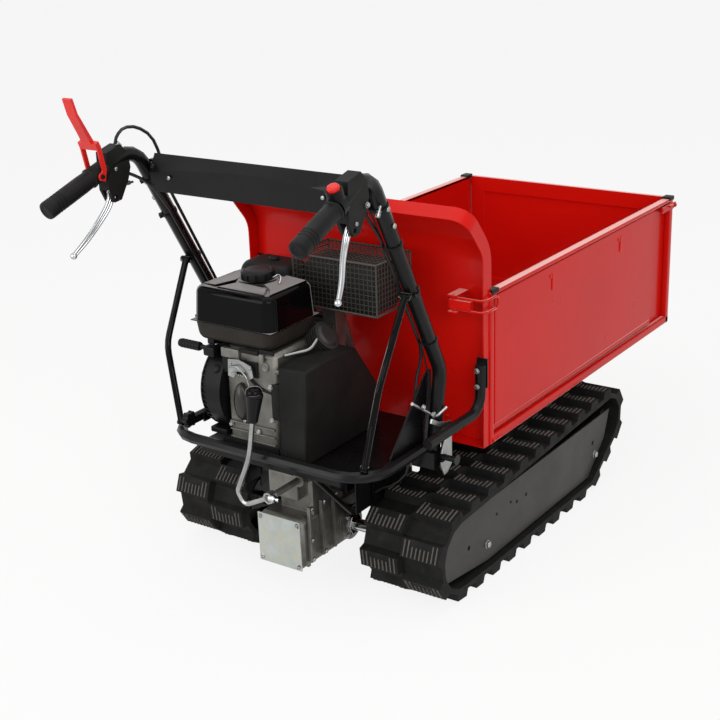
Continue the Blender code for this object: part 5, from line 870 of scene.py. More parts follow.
@dataclass
class Studio:
    """The pale floor, the soft lights and the camera of the photograph."""

    lens_mm: float = 68.43
    camera_at: tuple = (1.54180, -2.36840, 1.36190)
    camera_back: tuple = (0.54373, -0.76729, 0.34003)
    camera_roll_deg: float = -2.008
    frame_mm: float = 36.0
    look_at: tuple = (0, 0, 0.4)
    softboxes: tuple = (("overhead_softbox", (0.2, -0.3, 3.4), 3.2, 36.0),
                        ("key_softbox", (2.9, -2.2, 2.2), 2.0, 48.0),
                        ("fill_softbox", (-1.2, -3.4, 1.6), 2.4, 50.0))
    sky: float = 0.50
    white: tuple = (1, 1, 1, 1)
    floor_half: float = 60.0
    floor_drop: float = 0.0005
    floor_colour: str = "e6e6e4"
    floor_glow: float = 0.86

    def camera(self) -> None:
        """Sets the camera where the photograph was taken from."""
        back = Vector(self.camera_back)
        turn = (-back).to_track_quat("-Z", "Y").to_euler()
        bpy.ops.object.camera_add(location=self.camera_at, rotation=turn)
        camera = bpy.context.object
        camera.rotation_euler.rotate_axis("Z", math.radians(self.camera_roll_deg))
        camera.data.lens = self.lens_mm
        camera.data.sensor_width = self.frame_mm
        bpy.context.scene.camera = camera

    def softbox(self, name: str, at: Point, width: float, watts: float) -> None:
        """Hangs a square soft light that looks at the middle of the machine.

        Args:
            name: The light's name.
            at: Where it hangs.
            width: How wide it is.
            watts: Its power.
        """
        look = Vector(self.look_at) - Vector(at)
        bpy.ops.object.light_add(type="AREA", location=at,
                                 rotation=look.to_track_quat("-Z", "Y").to_euler())
        light = bpy.context.object
        light.name = name
        light.data.size = width
        light.data.energy = watts

    def bright_rays(self, tree: bpy.types.NodeTree) -> bpy.types.NodeSocket:
        """Adds the nodes that tell the rays that look from those that light.

        Args:
            tree: The node tree of a material or the world.

        Returns:
            A socket that is 1 for camera, glossy and transmission rays, and 0 for others.
        """
        path = add_node(tree, "ShaderNodeLightPath")
        both = add_node(tree, "ShaderNodeMath",
                        {0: path.outputs["Is Camera Ray"], 1: path.outputs["Is Glossy Ray"]},
                        operation="MAXIMUM")
        return add_node(tree, "ShaderNodeMath",
                        {0: both.outputs[0], 1: path.outputs["Is Transmission Ray"]},
                        operation="MAXIMUM").outputs[0]

    def world(self) -> None:
        """Makes the room: white to look at, plain soft grey as a light."""
        world = bpy.data.worlds.new("pale_room")
        bpy.context.scene.world = world
        world.use_nodes = True
        tree = world.node_tree
        tree.nodes.clear()
        lit, seen = (add_node(tree, "ShaderNodeBackground",
                              values={"Color": self.white, "Strength": strength})
                     for strength in (self.sky, 1.0))
        mix = add_node(tree, "ShaderNodeMixShader",
                       {0: self.bright_rays(tree), 1: lit.outputs[0], 2: seen.outputs[0]})
        add_node(tree, "ShaderNodeOutputWorld", {"Surface": mix.outputs[0]})

    def floor(self) -> None:
        """Lays the floor: white to look at, with the machine's soft shadow on it."""
        clear_selection()
        bpy.ops.mesh.primitive_plane_add(size=2 * self.floor_half,
                                         location=(0, 0, -self.floor_drop))
        floor = bpy.context.object
        floor.name = "studio_floor"
        paint = bpy.data.materials.new("white_floor_paint")
        paint.use_nodes = True
        tree = paint.node_tree
        tree.nodes.clear()
        matt = add_node(tree, "ShaderNodeBsdfDiffuse",
                        values={"Color": linear(self.floor_colour)})
        glow = add_node(tree, "ShaderNodeEmission", values={"Strength": 1.0})
        share = add_node(tree, "ShaderNodeMath", {0: self.bright_rays(tree)},
                         {1: self.floor_glow}, operation="MULTIPLY")
        mix = add_node(tree, "ShaderNodeMixShader",
                       {0: share.outputs[0], 1: matt.outputs[0], 2: glow.outputs[0]})
        add_node(tree, "ShaderNodeOutputMaterial", {"Surface": mix.outputs[0]})
        floor.data.materials.append(paint)

    def build(self) -> None:
        """Sets up the whole studio."""
        bpy.context.scene.view_settings.view_transform = "Standard"
        self.camera()
        self.world()
        self.floor()
        for softbox in self.softboxes:
            self.softbox(*softbox)
        log.info("studio: camera, three soft lights and floor")


@dataclass
class Tracks:
    """The rubber belts with their wheels, rollers and covers."""

    rib_pitch_mm: float = 9.0
    rib_width_mm: float = 3.2
    rib_height_mm: float = 1.8
    rib_top: tuple = (0.62, 0.93, 1)
    ribs: int = 9
    long_ribs: tuple = (0, 1, 7, 8)
    long_share: float = 0.92
    short_share: float = 0.62
    rib_margin_mm: float = 3.0
    least_top_mm2: float = 1200.0
    top_slack_mm: float = 1.5
    rollers: tuple = (1, 2, 3)
    cover_face_x: float = 0.317
    cover_bolts: tuple = ((-0.2208, 0.0694), (0.2714, 0.0789))
    cover_rivets: tuple = ((-0.1800, 0.1189), (-0.1214, 0.1213))

    def lug_tops(self, belt: Piece) -> list[tuple]:
        """Finds the outermost flat face of each lug that isn't on the ground.

        Args:
            belt: The belt.

        Returns:
            Centre, outward normal, width and length of each face.
        """
        spots = np.array([v.co for v in belt.data.vertices])
        tops = []
        for face in belt.data.polygons:
            out = np.array(face.normal)
            if abs(out[0]) > 0.02 or out[2] < -0.9 or face.area < self.least_top_mm2 * MM ** 2:
                continue
            corners = spots[list(face.vertices)]
            if (spots @ out).max() > (corners @ out).max() + self.top_slack_mm * MM:
                continue
            along = np.cross(out, (1.0, 0.0, 0.0))
            run = corners @ along
            low, high = corners[:, 0].min(), corners[:, 0].max()
            middle = Vector(((low + high) / 2, 0, 0)) + Vector(out) * float((corners @ out).max())
            middle += Vector(along) * float((run.min() + run.max()) / 2)
            tops.append((middle, Vector(out), high - low, float(run.max() - run.min())))
        return tops

    def rib(self) -> Piece:
        """Shapes the raised rib that is copied to every lug.

        Returns:
            The rib, 1 m long and standing on z = 0.
        """
        half, rise = self.rib_width_mm * MM / 2, self.rib_height_mm * MM
        rib = raw_block("rib", (-half, -0.5, -rise), (half, 0.5, rise))
        with editing(rib, lambda centre, normal: normal.z > 0.9):
            bpy.ops.transform.resize(value=self.rib_top)
        return rib

    def ribbing(self, side: str, belt: Piece) -> None:
        """Raises the ribs on one belt's lugs: long ones at both ends, short ones between.

        Args:
            side: Which side the belt is on.
            belt: The belt.
        """
        model = self.rib()
        made = []
        for middle, out, width, length in self.lug_tops(belt):
            along = Vector((1, 0, 0)).cross(out)
            basis = Matrix((Vector((1, 0, 0)), -along, out)).transposed().to_4x4()
            for k in range(self.ribs):
                shift = (k - (self.ribs - 1) / 2) * self.rib_pitch_mm * MM
                if abs(shift) > width / 2 - self.rib_margin_mm * MM:
                    continue
                share = self.long_share if k in self.long_ribs else self.short_share
                place = Matrix.Translation(middle + Vector((shift, 0, 0)))
                slide = Matrix.Translation((0, -length * (self.long_share - share) / 2, 0))
                size = Matrix.Diagonal((1, length * share, 1, 1))
                made.append(copied(model, "rib", place @ basis @ slide @ size))
        bpy.data.objects.remove(model)
        dress(joined(f"belt_ribs_{side}", made), RIB_RUBBER, "chassis")

    def build(self) -> None:
        """Dresses both tracks and sets their bolts."""
        for side, sign in SIDES.items():
            belt = redone(f"track_belt_{side}", TRACK_RUBBER, 1.2)
            self.ribbing(side, belt)
            redone(f"track_cover_{side}", COVER_ENAMEL, 0.0)
            redone(f"drive_sprocket_{side}", CAST_IRON, 1.0)
            redone(f"front_idler_{side}", POWDER_COAT, 1.0)
            redone(f"drive_axle_{side}", CHROME, 0.6)
            for k in self.rollers:
                redone(f"track_roller_{side}_{k}", POWDER_COAT, 0.8)
            for y, z in self.cover_bolts:
                BOLTS.add(Bolt.HEX, (sign * self.cover_face_x, y, z), (sign, 0, 0), 13.0)
            for y, z in self.cover_rivets:
                BOLTS.add(Bolt.RIVET, (sign * self.cover_face_x, y, z), (sign, 0, 0), 7.0,
                          "chassis", POWDER_COAT)


@dataclass
class LoadBox:
    """The red drop-side load box with its catches and its tipping handle.

    Each level of a drop side has its name, where it runs along the machine, in height and
    outwards, and how wide its edges are rounded, in millimetres. A louvre's levels are placed
    from the louvre's own middle.
    """

    levels: tuple = (
        ("sheet", (-0.161, 0.741), (0.257, 0.577), (0.2745, 0.2770), 0.4),
        ("pan", (-0.140, 0.630), (0.293, 0.566), (0.2770, 0.2895), 4.0),
        ("upper_step", (-0.140, 0.640), (0.2805, 0.300), (0.2770, 0.2845), 2.5),
        ("bottom_rail", (-0.161, 0.741), (0.257, 0.2755), (0.2770, 0.2910), 3.0),
        ("rear_rail", (-0.161, -0.146), (0.257, 0.572), (0.2770, 0.2912), 3.0),
        ("front_rail", (0.722, 0.741), (0.257, 0.572), (0.2770, 0.2910), 3.0),
        ("top_flange", (-0.161, 0.741), (0.5695, 0.577), (0.2745, 0.2925), 1.6),
    )
    louvre: tuple = (
        ("louvre", (-0.0045, 0.0045), (0.512, 0.548), (0.2880, 0.2918), 1.5),
        ("louvre_hook", (-0.0135, -0.0045), (0.540, 0.548), (0.2880, 0.2912), 1.2),
    )
    louvres_y: tuple = (0.105, 0.440)
    cap_x: tuple = (0.272, 0.294)
    cap_z: tuple = (0.572, 0.5815)
    cap_half: float = 0.014
    cap_edge_mm: float = 1.8
    caps_y: tuple = (("rear", -0.144), ("front", 0.725))
    knuckle: tuple = ((2.0, 0), (5.0, 0.6), (5.0, 16.4), (2.0, 17))
    knuckle_x: float = 0.2890
    knuckle_z: float = 0.2640
    knuckles_y: tuple = (-0.153, -0.135)
    lip_x: tuple = (0.262, 0.2765)
    lip_y: tuple = (-0.144, 0.711)
    lip_z: tuple = (0.2500, 0.2535)
    lip_front: float = 0.737
    lip_edge_mm: float = 0.5
    screw_y: float = -0.158
    head_screws: tuple = ((0.276, 0.490), (0.276, 0.445))
    foot_screws: tuple = ((-0.19, 0.300), (-0.10, 0.300), (0.19, 0.300), (0.10, 0.300))
    handle_bolts: tuple = ((0.288, -0.2085, 0.431), (0.288, -0.2085, 0.398))

    def corner_caps(self) -> None:
        """Sets the flat black caps on the top corners of the drop sides."""
        for side, sign in SIDES.items():
            for end, y in self.caps_y:
                cap = side_block(f"corner_cap_{side}_{end}", sign, self.cap_x,
                                 (y - self.cap_half, y + self.cap_half), self.cap_z,
                                 self.cap_edge_mm)
                dress(cap, GRIP_RUBBER, f"side_panel_{side}")

    def drop_side(self, side: str, sign: int) -> None:
        """Presses one drop side: a raised pan, a double step under it and a deep end bay.

        Args:
            side: Which side it is on.
            sign: The sign of X on that side.
        """
        levels = list(self.levels)
        for at in self.louvres_y:
            levels += [(name, (at + y[0], at + y[1]), z, x, edge_mm)
                       for name, y, z, x, edge_mm in self.louvre]
        made = [side_block(name, sign, x, y, z, edge_mm) for name, y, z, x, edge_mm in levels]
        dress(joined(f"drop_side_{side}", made), RED_ENAMEL, f"side_panel_{side}",
              f"side_panel_{side}")

    def knuckles(self) -> None:
        """Welds a rolled hinge knuckle under the rear end of each drop side."""
        for side, sign in SIDES.items():
            made = [lathe("knuckle", self.knuckle, (sign * self.knuckle_x, y, self.knuckle_z),
                          (0, 1, 0), 16) for y in self.knuckles_y]
            dress(joined(f"hinge_knuckles_{side}", made), RED_ENAMEL, "load_box")

    def floor_lips(self) -> None:
        """Folds a lip under each drop side and the front panel, which closes the slit there."""
        made = [side_block("side_lip", sign, self.lip_x, self.lip_y, self.lip_z, self.lip_edge_mm)
                for sign in SIDES.values()]
        made.append(block("front_lip", (-self.lip_x[0], self.lip_y[1], self.lip_z[0]),
                          (self.lip_x[0], self.lip_front, self.lip_z[1]), self.lip_edge_mm))
        dress(joined("floor_lips", made), RED_ENAMEL, "load_box")

    def red_screws(self, places: tuple) -> None:
        """Sets painted screws in the headboard's rear, each at its X and height."""
        for x, z in places:
            BOLTS.add(Bolt.PAN, (x, self.screw_y, z), (0, -1, 0), 8.0, "load_box", RED_ENAMEL)

    def bolts(self) -> None:
        """Sets the bolts of the headboard and the tipping handle."""
        self.red_screws(self.head_screws)
        for at in self.handle_bolts:
            BOLTS.add(Bolt.HEX, at, (0, -1, 0), 9.0, "load_box")
        self.red_screws(self.foot_screws)

    def build(self) -> None:
        """Dresses the box's pieces and adds its small ones."""
        redone("load_box_body", RED_ENAMEL, 0.8)
        redone("front_panel", RED_ENAMEL, 0.8)
        for side, sign in SIDES.items():
            self.drop_side(side, sign)
            redone(f"front_latch_{side}", RED_ENAMEL, 0.4)
            redone(f"headboard_latch_{side}", RED_ENAMEL, 0.3)
        redone("tip_handle", POWDER_COAT, 0.5)
        redone("tip_latch", ZINC, 0.5)
        self.corner_caps()
        self.knuckles()
        self.floor_lips()
        self.bolts()


@dataclass
class Frame:
    """The welded frame, the engine deck and its guard."""

    stop_path: tuple = ((0.2555, -0.3908, 0.4192), (0.260, -0.3156, 0.3674),
                        (0.272, -0.2959, 0.3841))
    stop_radius_mm: float = 3.2
    stop_bend: float = 0.010
    stop_eye: tuple = ((3.0, 0), (6.0, 0.4), (6.0, 3.2), (3.0, 3.6))
    stop_eye_at: tuple = (0.262, -0.330, 0.378)
    stop_bolt: tuple = (0.262, -0.3644, 0.405)
    hanger_x: tuple = (0.1375, 0.1405)
    hanger_top: float = 0.262
    hangers: tuple = (((-0.420, -0.365), 0.174), ((-0.370, -0.262), 0.149))
    brace_path: tuple = ((0.084, -0.492, 0.272), (0.084, -0.478, 0.262), (0.084, -0.362, 0.142))
    brace_radius_mm: float = 6.0
    brace_bend: float = 0.008
    deck_top: float = 0.300
    deck_screws: tuple = ((-0.150, -0.500), (-0.095, -0.505), (0.030, -0.505), (0.060, -0.480),
                          (-0.150, -0.225), (0.195, -0.225))
    beam_bolts: tuple = ((0.205, -0.330, 0.296), (0.225, -0.330, 0.296))
    beam_nuts: tuple = ((0.170, -0.328, 0.262), (0.205, -0.328, 0.262))

    def latch_stop(self) -> None:
        """Bends the zinc-plated stop of the tip latch and bolts it to the gusset."""
        stop = bar("tip_stop", self.stop_path, self.stop_radius_mm, self.stop_bend)
        eye = lathe("eye", self.stop_eye, self.stop_eye_at, (1, 0, 0), 18)
        dress(joined("tip_stop", [stop, eye]), ZINC, "chassis")
        BOLTS.add(Bolt.HEX, self.stop_bolt, (1, 0, 0), 8.0)

    def side_plates(self) -> None:
        """Sets the plates that hang from the deck beside the tracks, and the gearbox's brace."""
        made = [side_block("hanger", sign, self.hanger_x, y, (foot, self.hanger_top), 0.8)
                for sign in SIDES.values() for y, foot in self.hangers]
        made.append(bar("brace", self.brace_path, self.brace_radius_mm, self.brace_bend))
        dress(joined("deck_hangers", made), POWDER_COAT, "chassis")

    def bolts(self) -> None:
        """Sets the bolts of the deck, the beam and the gussets."""
        for x, y in self.deck_screws:
            BOLTS.add(Bolt.PAN, (x, y, self.deck_top), (0, 0, 1), 9.0)
        for at in self.beam_bolts:
            BOLTS.add(Bolt.HEX, at, (0, 0, 1), 10.0)
        for at in self.beam_nuts:
            BOLTS.add(Bolt.NUT, at, (0, -1, 0), 9.0)

    def build(self) -> None:
        """Dresses the frame's pieces and adds its small ones."""
        redone("chassis_frame", POWDER_COAT, 0.8)
        redone("engine_deck", POWDER_COAT, 0.6)
        redone("deck_guard", POWDER_COAT, 0.0)
        redone("belt_cover", DARK_DUCT, 2.5, 3)
        self.latch_stop()
        self.side_plates()
        self.bolts()


@dataclass
class Controls:
    """The handlebars with their grips, levers, switch and cables."""

    bar_radius_mm: float = 14.0
    knee: tuple = (0.255, -0.290, 0.455)
    top: tuple = (0.2655, -0.526, 0.882)
    end: tuple = (0.2795, -0.745, 0.802)
    grip_length: float = 0.1165
    grip_profile: tuple = ((14.6, 0), (19.0, 0.6), (19.0, 3.2), (17.2, 4.6), (16.7, 9),
                           (17.4, 24), (17.4, 76), (15.8, 77.5), (15.8, 79.5), (17.4, 81),
                           (17.4, 83.5), (15.8, 85), (15.8, 87), (17.4, 88.5), (17.4, 91),
                           (15.8, 92.5), (15.8, 94.5), (17.4, 96), (17.5, 111), (16.6, 115),
                           (13.0, 117), (10.5, 117.2), (9.5, 116.2), (4.0, 116.0))
    lever_x: float = 0.2691
    lever_line: tuple = ((-0.587, 0.8085), (-0.602, 0.7815), (-0.622, 0.7555),
                         (-0.644, 0.7255), (-0.6715, 0.7000))
    lever_halves: tuple = (0.0065, 0.0055, 0.0045, 0.0038, 0.0022)
    lever_across: tuple = (0.75, 0.65)
    lever_rims: tuple = ((-1.0, 3.0), (0.0, 2.4), (1.0, 3.0))
    lever_bend: float = 0.02
    lever_lean: float = 0.42
    lever_lean_from: float = 0.7735
    lever_ball: tuple = ((2.5, -6), (5.0, -4.2), (6.4, -1.2), (6.4, 1.2), (5.0, 4.2), (2.5, 6))
    tie_shares: tuple = (0.16, 0.42, 0.66, 0.84)
    tie_stand_mm: float = 0.8
    tie_lock_turn: float = 2.4
    adjuster: tuple = ((2.2, -9), (2.4, -8.6), (2.4, 0), (4.4, 0.2), (4.4, 2.6), (3.4, 3.0),
                       (3.4, 4.2), (4.6, 4.4), (4.6, 10.4), (3.6, 11.2), (3.0, 12.0),
                       (2.2, 12.2))
    adjusters_at: tuple = (((-0.262, -0.5646, 0.8889), (0, -0.75, 0.66)),
                           ((-0.262, -0.5487, 0.8172), (0, -1, 0.05)),
                           ((0.268, -0.5626, 0.8576), (0, -1, -0.1)),
                           ((0.275, -0.5103, 0.8139), (0, -0.5, -0.86)))
    wire_path: tuple = ((0.268, -0.616, 0.834), (0.262, -0.585, 0.842), (0.248, -0.545, 0.868),
                        (0.2485, -0.520, 0.850), (0.2455, -0.430, 0.690),
                        (0.240, -0.330, 0.510), (0.236, -0.300, 0.440),
                        (0.230, -0.312, 0.330))
    wire_radius_mm: float = 1.8
    wire_bend: float = 0.02
    button: tuple = ((8.0, 2.1), (11.4, 2.9), (11.8, 7.6), (11.0, 11.3), (8.0, 13.6),
                     (2.0, 14.4))
    button_at: tuple = (0.2716, -0.6305, 0.8703)
    button_axis: tuple = (0, -0.343, 0.939)
    button_lobes: int = 8
    panel_screw: tuple = (0.1757, -0.5335, 0.831)
    panel_dome: tuple = (0.214, -0.5335, 0.850)
    left_pins: tuple = ((-0.5953, 0.8532), (-0.621, 0.8156))
    left_faces_x: tuple = (-0.2468, -0.2985)
    right_pins: tuple = ((Bolt.PAN, -0.5884, 0.8101), (Bolt.HEX, -0.556, 0.835))
    right_face_x: float = 0.2825
    bar_bolts: tuple = ((0.2780, -0.4870, 0.8122), (-0.2690, -0.4985, 0.8062),
                        (0.2780, -0.4690, 0.7785), (-0.2690, -0.4805, 0.7725))
    clamp_at: tuple = (0.272, -0.395, 0.640)
    clamp_step: tuple = (0, 0.004, 0.006)

    def grip(self, side: str, sign: int) -> None:
        """Turns one rubber grip with its flange and its end rings.

        Args:
            side: Which side it is on.
            sign: The sign of X on that side.
        """
        end, top = Vector(self.end), Vector(self.top)
        along = (end - top).normalized()
        start = end - along * self.grip_length
        start.x, along.x = sign * start.x, sign * along.x
        made = lathe(f"grip_{side}_moulded", self.grip_profile, start, along, 32, 30)
        dress(made, GRIP_RUBBER, "chassis", f"grip_{side}")

    def lever_out(self, sign: int, z: float) -> float:
        """Where a steering lever lies in X at a height: its lower part leans outwards."""
        return sign * (self.lever_x + max(0.0, self.lever_lean_from - z) * self.lever_lean)

    def hand_lever(self, side: str, sign: int) -> None:
        """Forges one steering lever: two rims with a hollow between, and a ball at the tip.

        Args:
            side: Which side it is on.
            sign: The sign of X on that side.
        """
        made = []
        for shift, radius_mm in self.lever_rims:
            points = []
            for (y, z), half in zip(self.lever_line, self.lever_halves):
                points.append((self.lever_out(sign, z), y + shift * half * self.lever_across[0],
                               z - shift * half * self.lever_across[1]))
            made.append(bar("rim", points, radius_mm, self.lever_bend))
        y, z = self.lever_line[-1]
        made.append(lathe("ball", self.lever_ball, (self.lever_out(sign, z), y, z),
                          (0, -0.7, -0.7), 24, 60))
        dress(joined(f"steering_lever_{side}_forged", made), CHROME, f"steering_lever_{side}",
              f"steering_lever_{side}")

    def tie(self, at: Point, axis: Point, radius_mm: float, width_mm: float = 6.0) -> Piece:
        """A cable tie or clamp band with its lock.

        Args:
            at: The middle of what it goes round.
            axis: Which way that runs.
            radius_mm: How far out its middle lies.
            width_mm: How wide it is.

        Returns:
            The band.
        """
        band = lathe("band", [(radius_mm - 0.6, 0), (radius_mm + 0.8, 0.2),
                              (radius_mm + 0.8, width_mm - 0.2), (radius_mm - 0.6, width_mm)],
                     at, axis, 24)
        lock = block("lock", (-0.005, -0.001, -0.001), (0.005, 0.007, 0.007), 1.0)
        place = Matrix.Translation(Vector(at)) @ aim(axis)
        seat = (place @ Matrix.Rotation(self.tie_lock_turn, 4, "Z")
                @ Matrix.Translation((0, radius_mm * MM, 0)))
        moved = copied(lock, "lock", seat)
        bpy.data.objects.remove(lock)
        return joined("tie", [band, moved])

    def ties(self) -> None:
        """Straps the cables to both handlebars."""
        made = []
        for sign in SIDES.values():
            low, high = Vector(self.knee), Vector(self.top)
            low.x, high.x = sign * low.x, sign * high.x
            along = (high - low).normalized()
            for share in self.tie_shares:
                made.append(self.tie(low.lerp(high, share), along,
                                     self.bar_radius_mm + self.tie_stand_mm))
        dress(joined("cable_ties", made), BLACK_MOULDED, "chassis")

    def adjusters(self) -> None:
        """Screws the barrel adjusters of the cables into their brackets."""
        made = [lathe("adjuster", self.adjuster, at, axis, 14, 25)
                for at, axis in self.adjusters_at]
        dress(joined("cable_adjusters", made), ZINC, "chassis")

    def switch_wire(self) -> None:
        """Leads the stop switch's wire down the right handlebar."""
        wire = bar("switch_wire", self.wire_path, self.wire_radius_mm, self.wire_bend, fineness=2)
        dress(wire, CABLE_SHEATH, "chassis")

    def panel_details(self) -> None:
        """Bolts the control panel, the levers' pivots and the handlebars' tops."""
        for sign in SIDES.values():
            out = Vector((sign, 1, 1))
            BOLTS.add(Bolt.PAN, out * Vector(self.panel_screw), (0, -1, 0), 8.0)
            BOLTS.add(Bolt.DOME, out * Vector(self.panel_dome), (0, -1, 0), 8.0, "chassis",
                      POWDER_COAT)
        inner, outer = self.left_faces_x
        for y, z in self.left_pins:
            BOLTS.add(Bolt.PAN, (inner, y, z), (1, 0, 0), 8.0)
            BOLTS.add(Bolt.NUT, (outer, y, z), (-1, 0, 0), 7.0)
        for kind, y, z in self.right_pins:
            BOLTS.add(kind, (self.right_face_x, y, z), (1, 0, 0), 8.0)
        for at in self.bar_bolts:
            if at[0] > 0:
                BOLTS.add(Bolt.DOME, at, (1, 0, 0), 9.0)
            else:
                BOLTS.add(Bolt.DOME, at, (-0.35, -0.82, -0.45), 8.0)

    def clamps(self) -> None:
        """Bolts the struts to the handlebars."""
        for sign in SIDES.values():
            seat = Vector((sign, 1, 1)) * Vector(self.clamp_at)
            for shift in (-1, 1):
                BOLTS.add(Bolt.HEX, seat + shift * Vector(self.clamp_step), (sign, 0, 0), 7.0,
                          "chassis", POWDER_COAT)

    def build(self) -> None:
        """Dresses the controls and adds their small pieces."""
        for side, sign in SIDES.items():
            redone(f"handlebar_{side}", POWDER_COAT, 0.0, smooth=70)
            redone(f"strut_{side}", BLACK_ENAMEL, 0.0, smooth=70)
            self.grip(side, sign)
            redone(f"lever_bracket_{side}", DARK_DUCT, 1.2, 3)
            self.hand_lever(side, sign)
        redone("control_panel", POWDER_COAT, 0.6)
        redone("drive_lever", RED_NYLON, 2.2, 4)
        redone("stop_switch_body", BLACK_MOULDED, 0.8)
        button = lathe("stop_button_lobed", self.button, self.button_at, self.button_axis,
                       self.button_lobes, 20)
        ease(button, 1.2, 3, 30)
        dress(settle(button, 40), RED_NYLON, "stop_button", "stop_switch_button")
        for cable in ("drive_cable", "left_steering_cable", "right_steering_cable"):
            redone(cable, CABLE_SHEATH, 0.0)
        self.ties()
        self.adjusters()
        self.switch_wire()
        self.panel_details()
        self.clamps()


@dataclass(frozen=True)
class Shell:
    """The sizes of a pressed or moulded shell with rounded corners and one closed end.

    It has its two corners, how wide its upright edges and its closed rim are rounded, how much
    narrower and shorter its closed end is, and 1 or -1 for a closed end that faces up or down.
    """

    name: str
    low: tuple
    high: tuple
    corner_mm: float
    rim_mm: float
    narrowing: tuple
    end: int

    def pressed(self) -> Piece:
        """Presses the shell from a block.

        Returns:
            The shell.
        """
        shell = raw_block(self.name, self.low, self.high)
        with editing(shell, lambda centre, normal: normal.z * self.end > 0.9):
            bpy.ops.transform.resize(value=(*self.narrowing, 1))
        rim = (self.high if self.end > 0 else self.low)[2]
        round_edges(shell, self.corner_mm, 6, lambda a, b: abs(a.z - b.z) > 0.01)
        round_edges(shell, self.rim_mm, 5, lambda a, b: abs(a.z - rim) + abs(b.z - rim) < WELD)
        return settle(shell, 40)


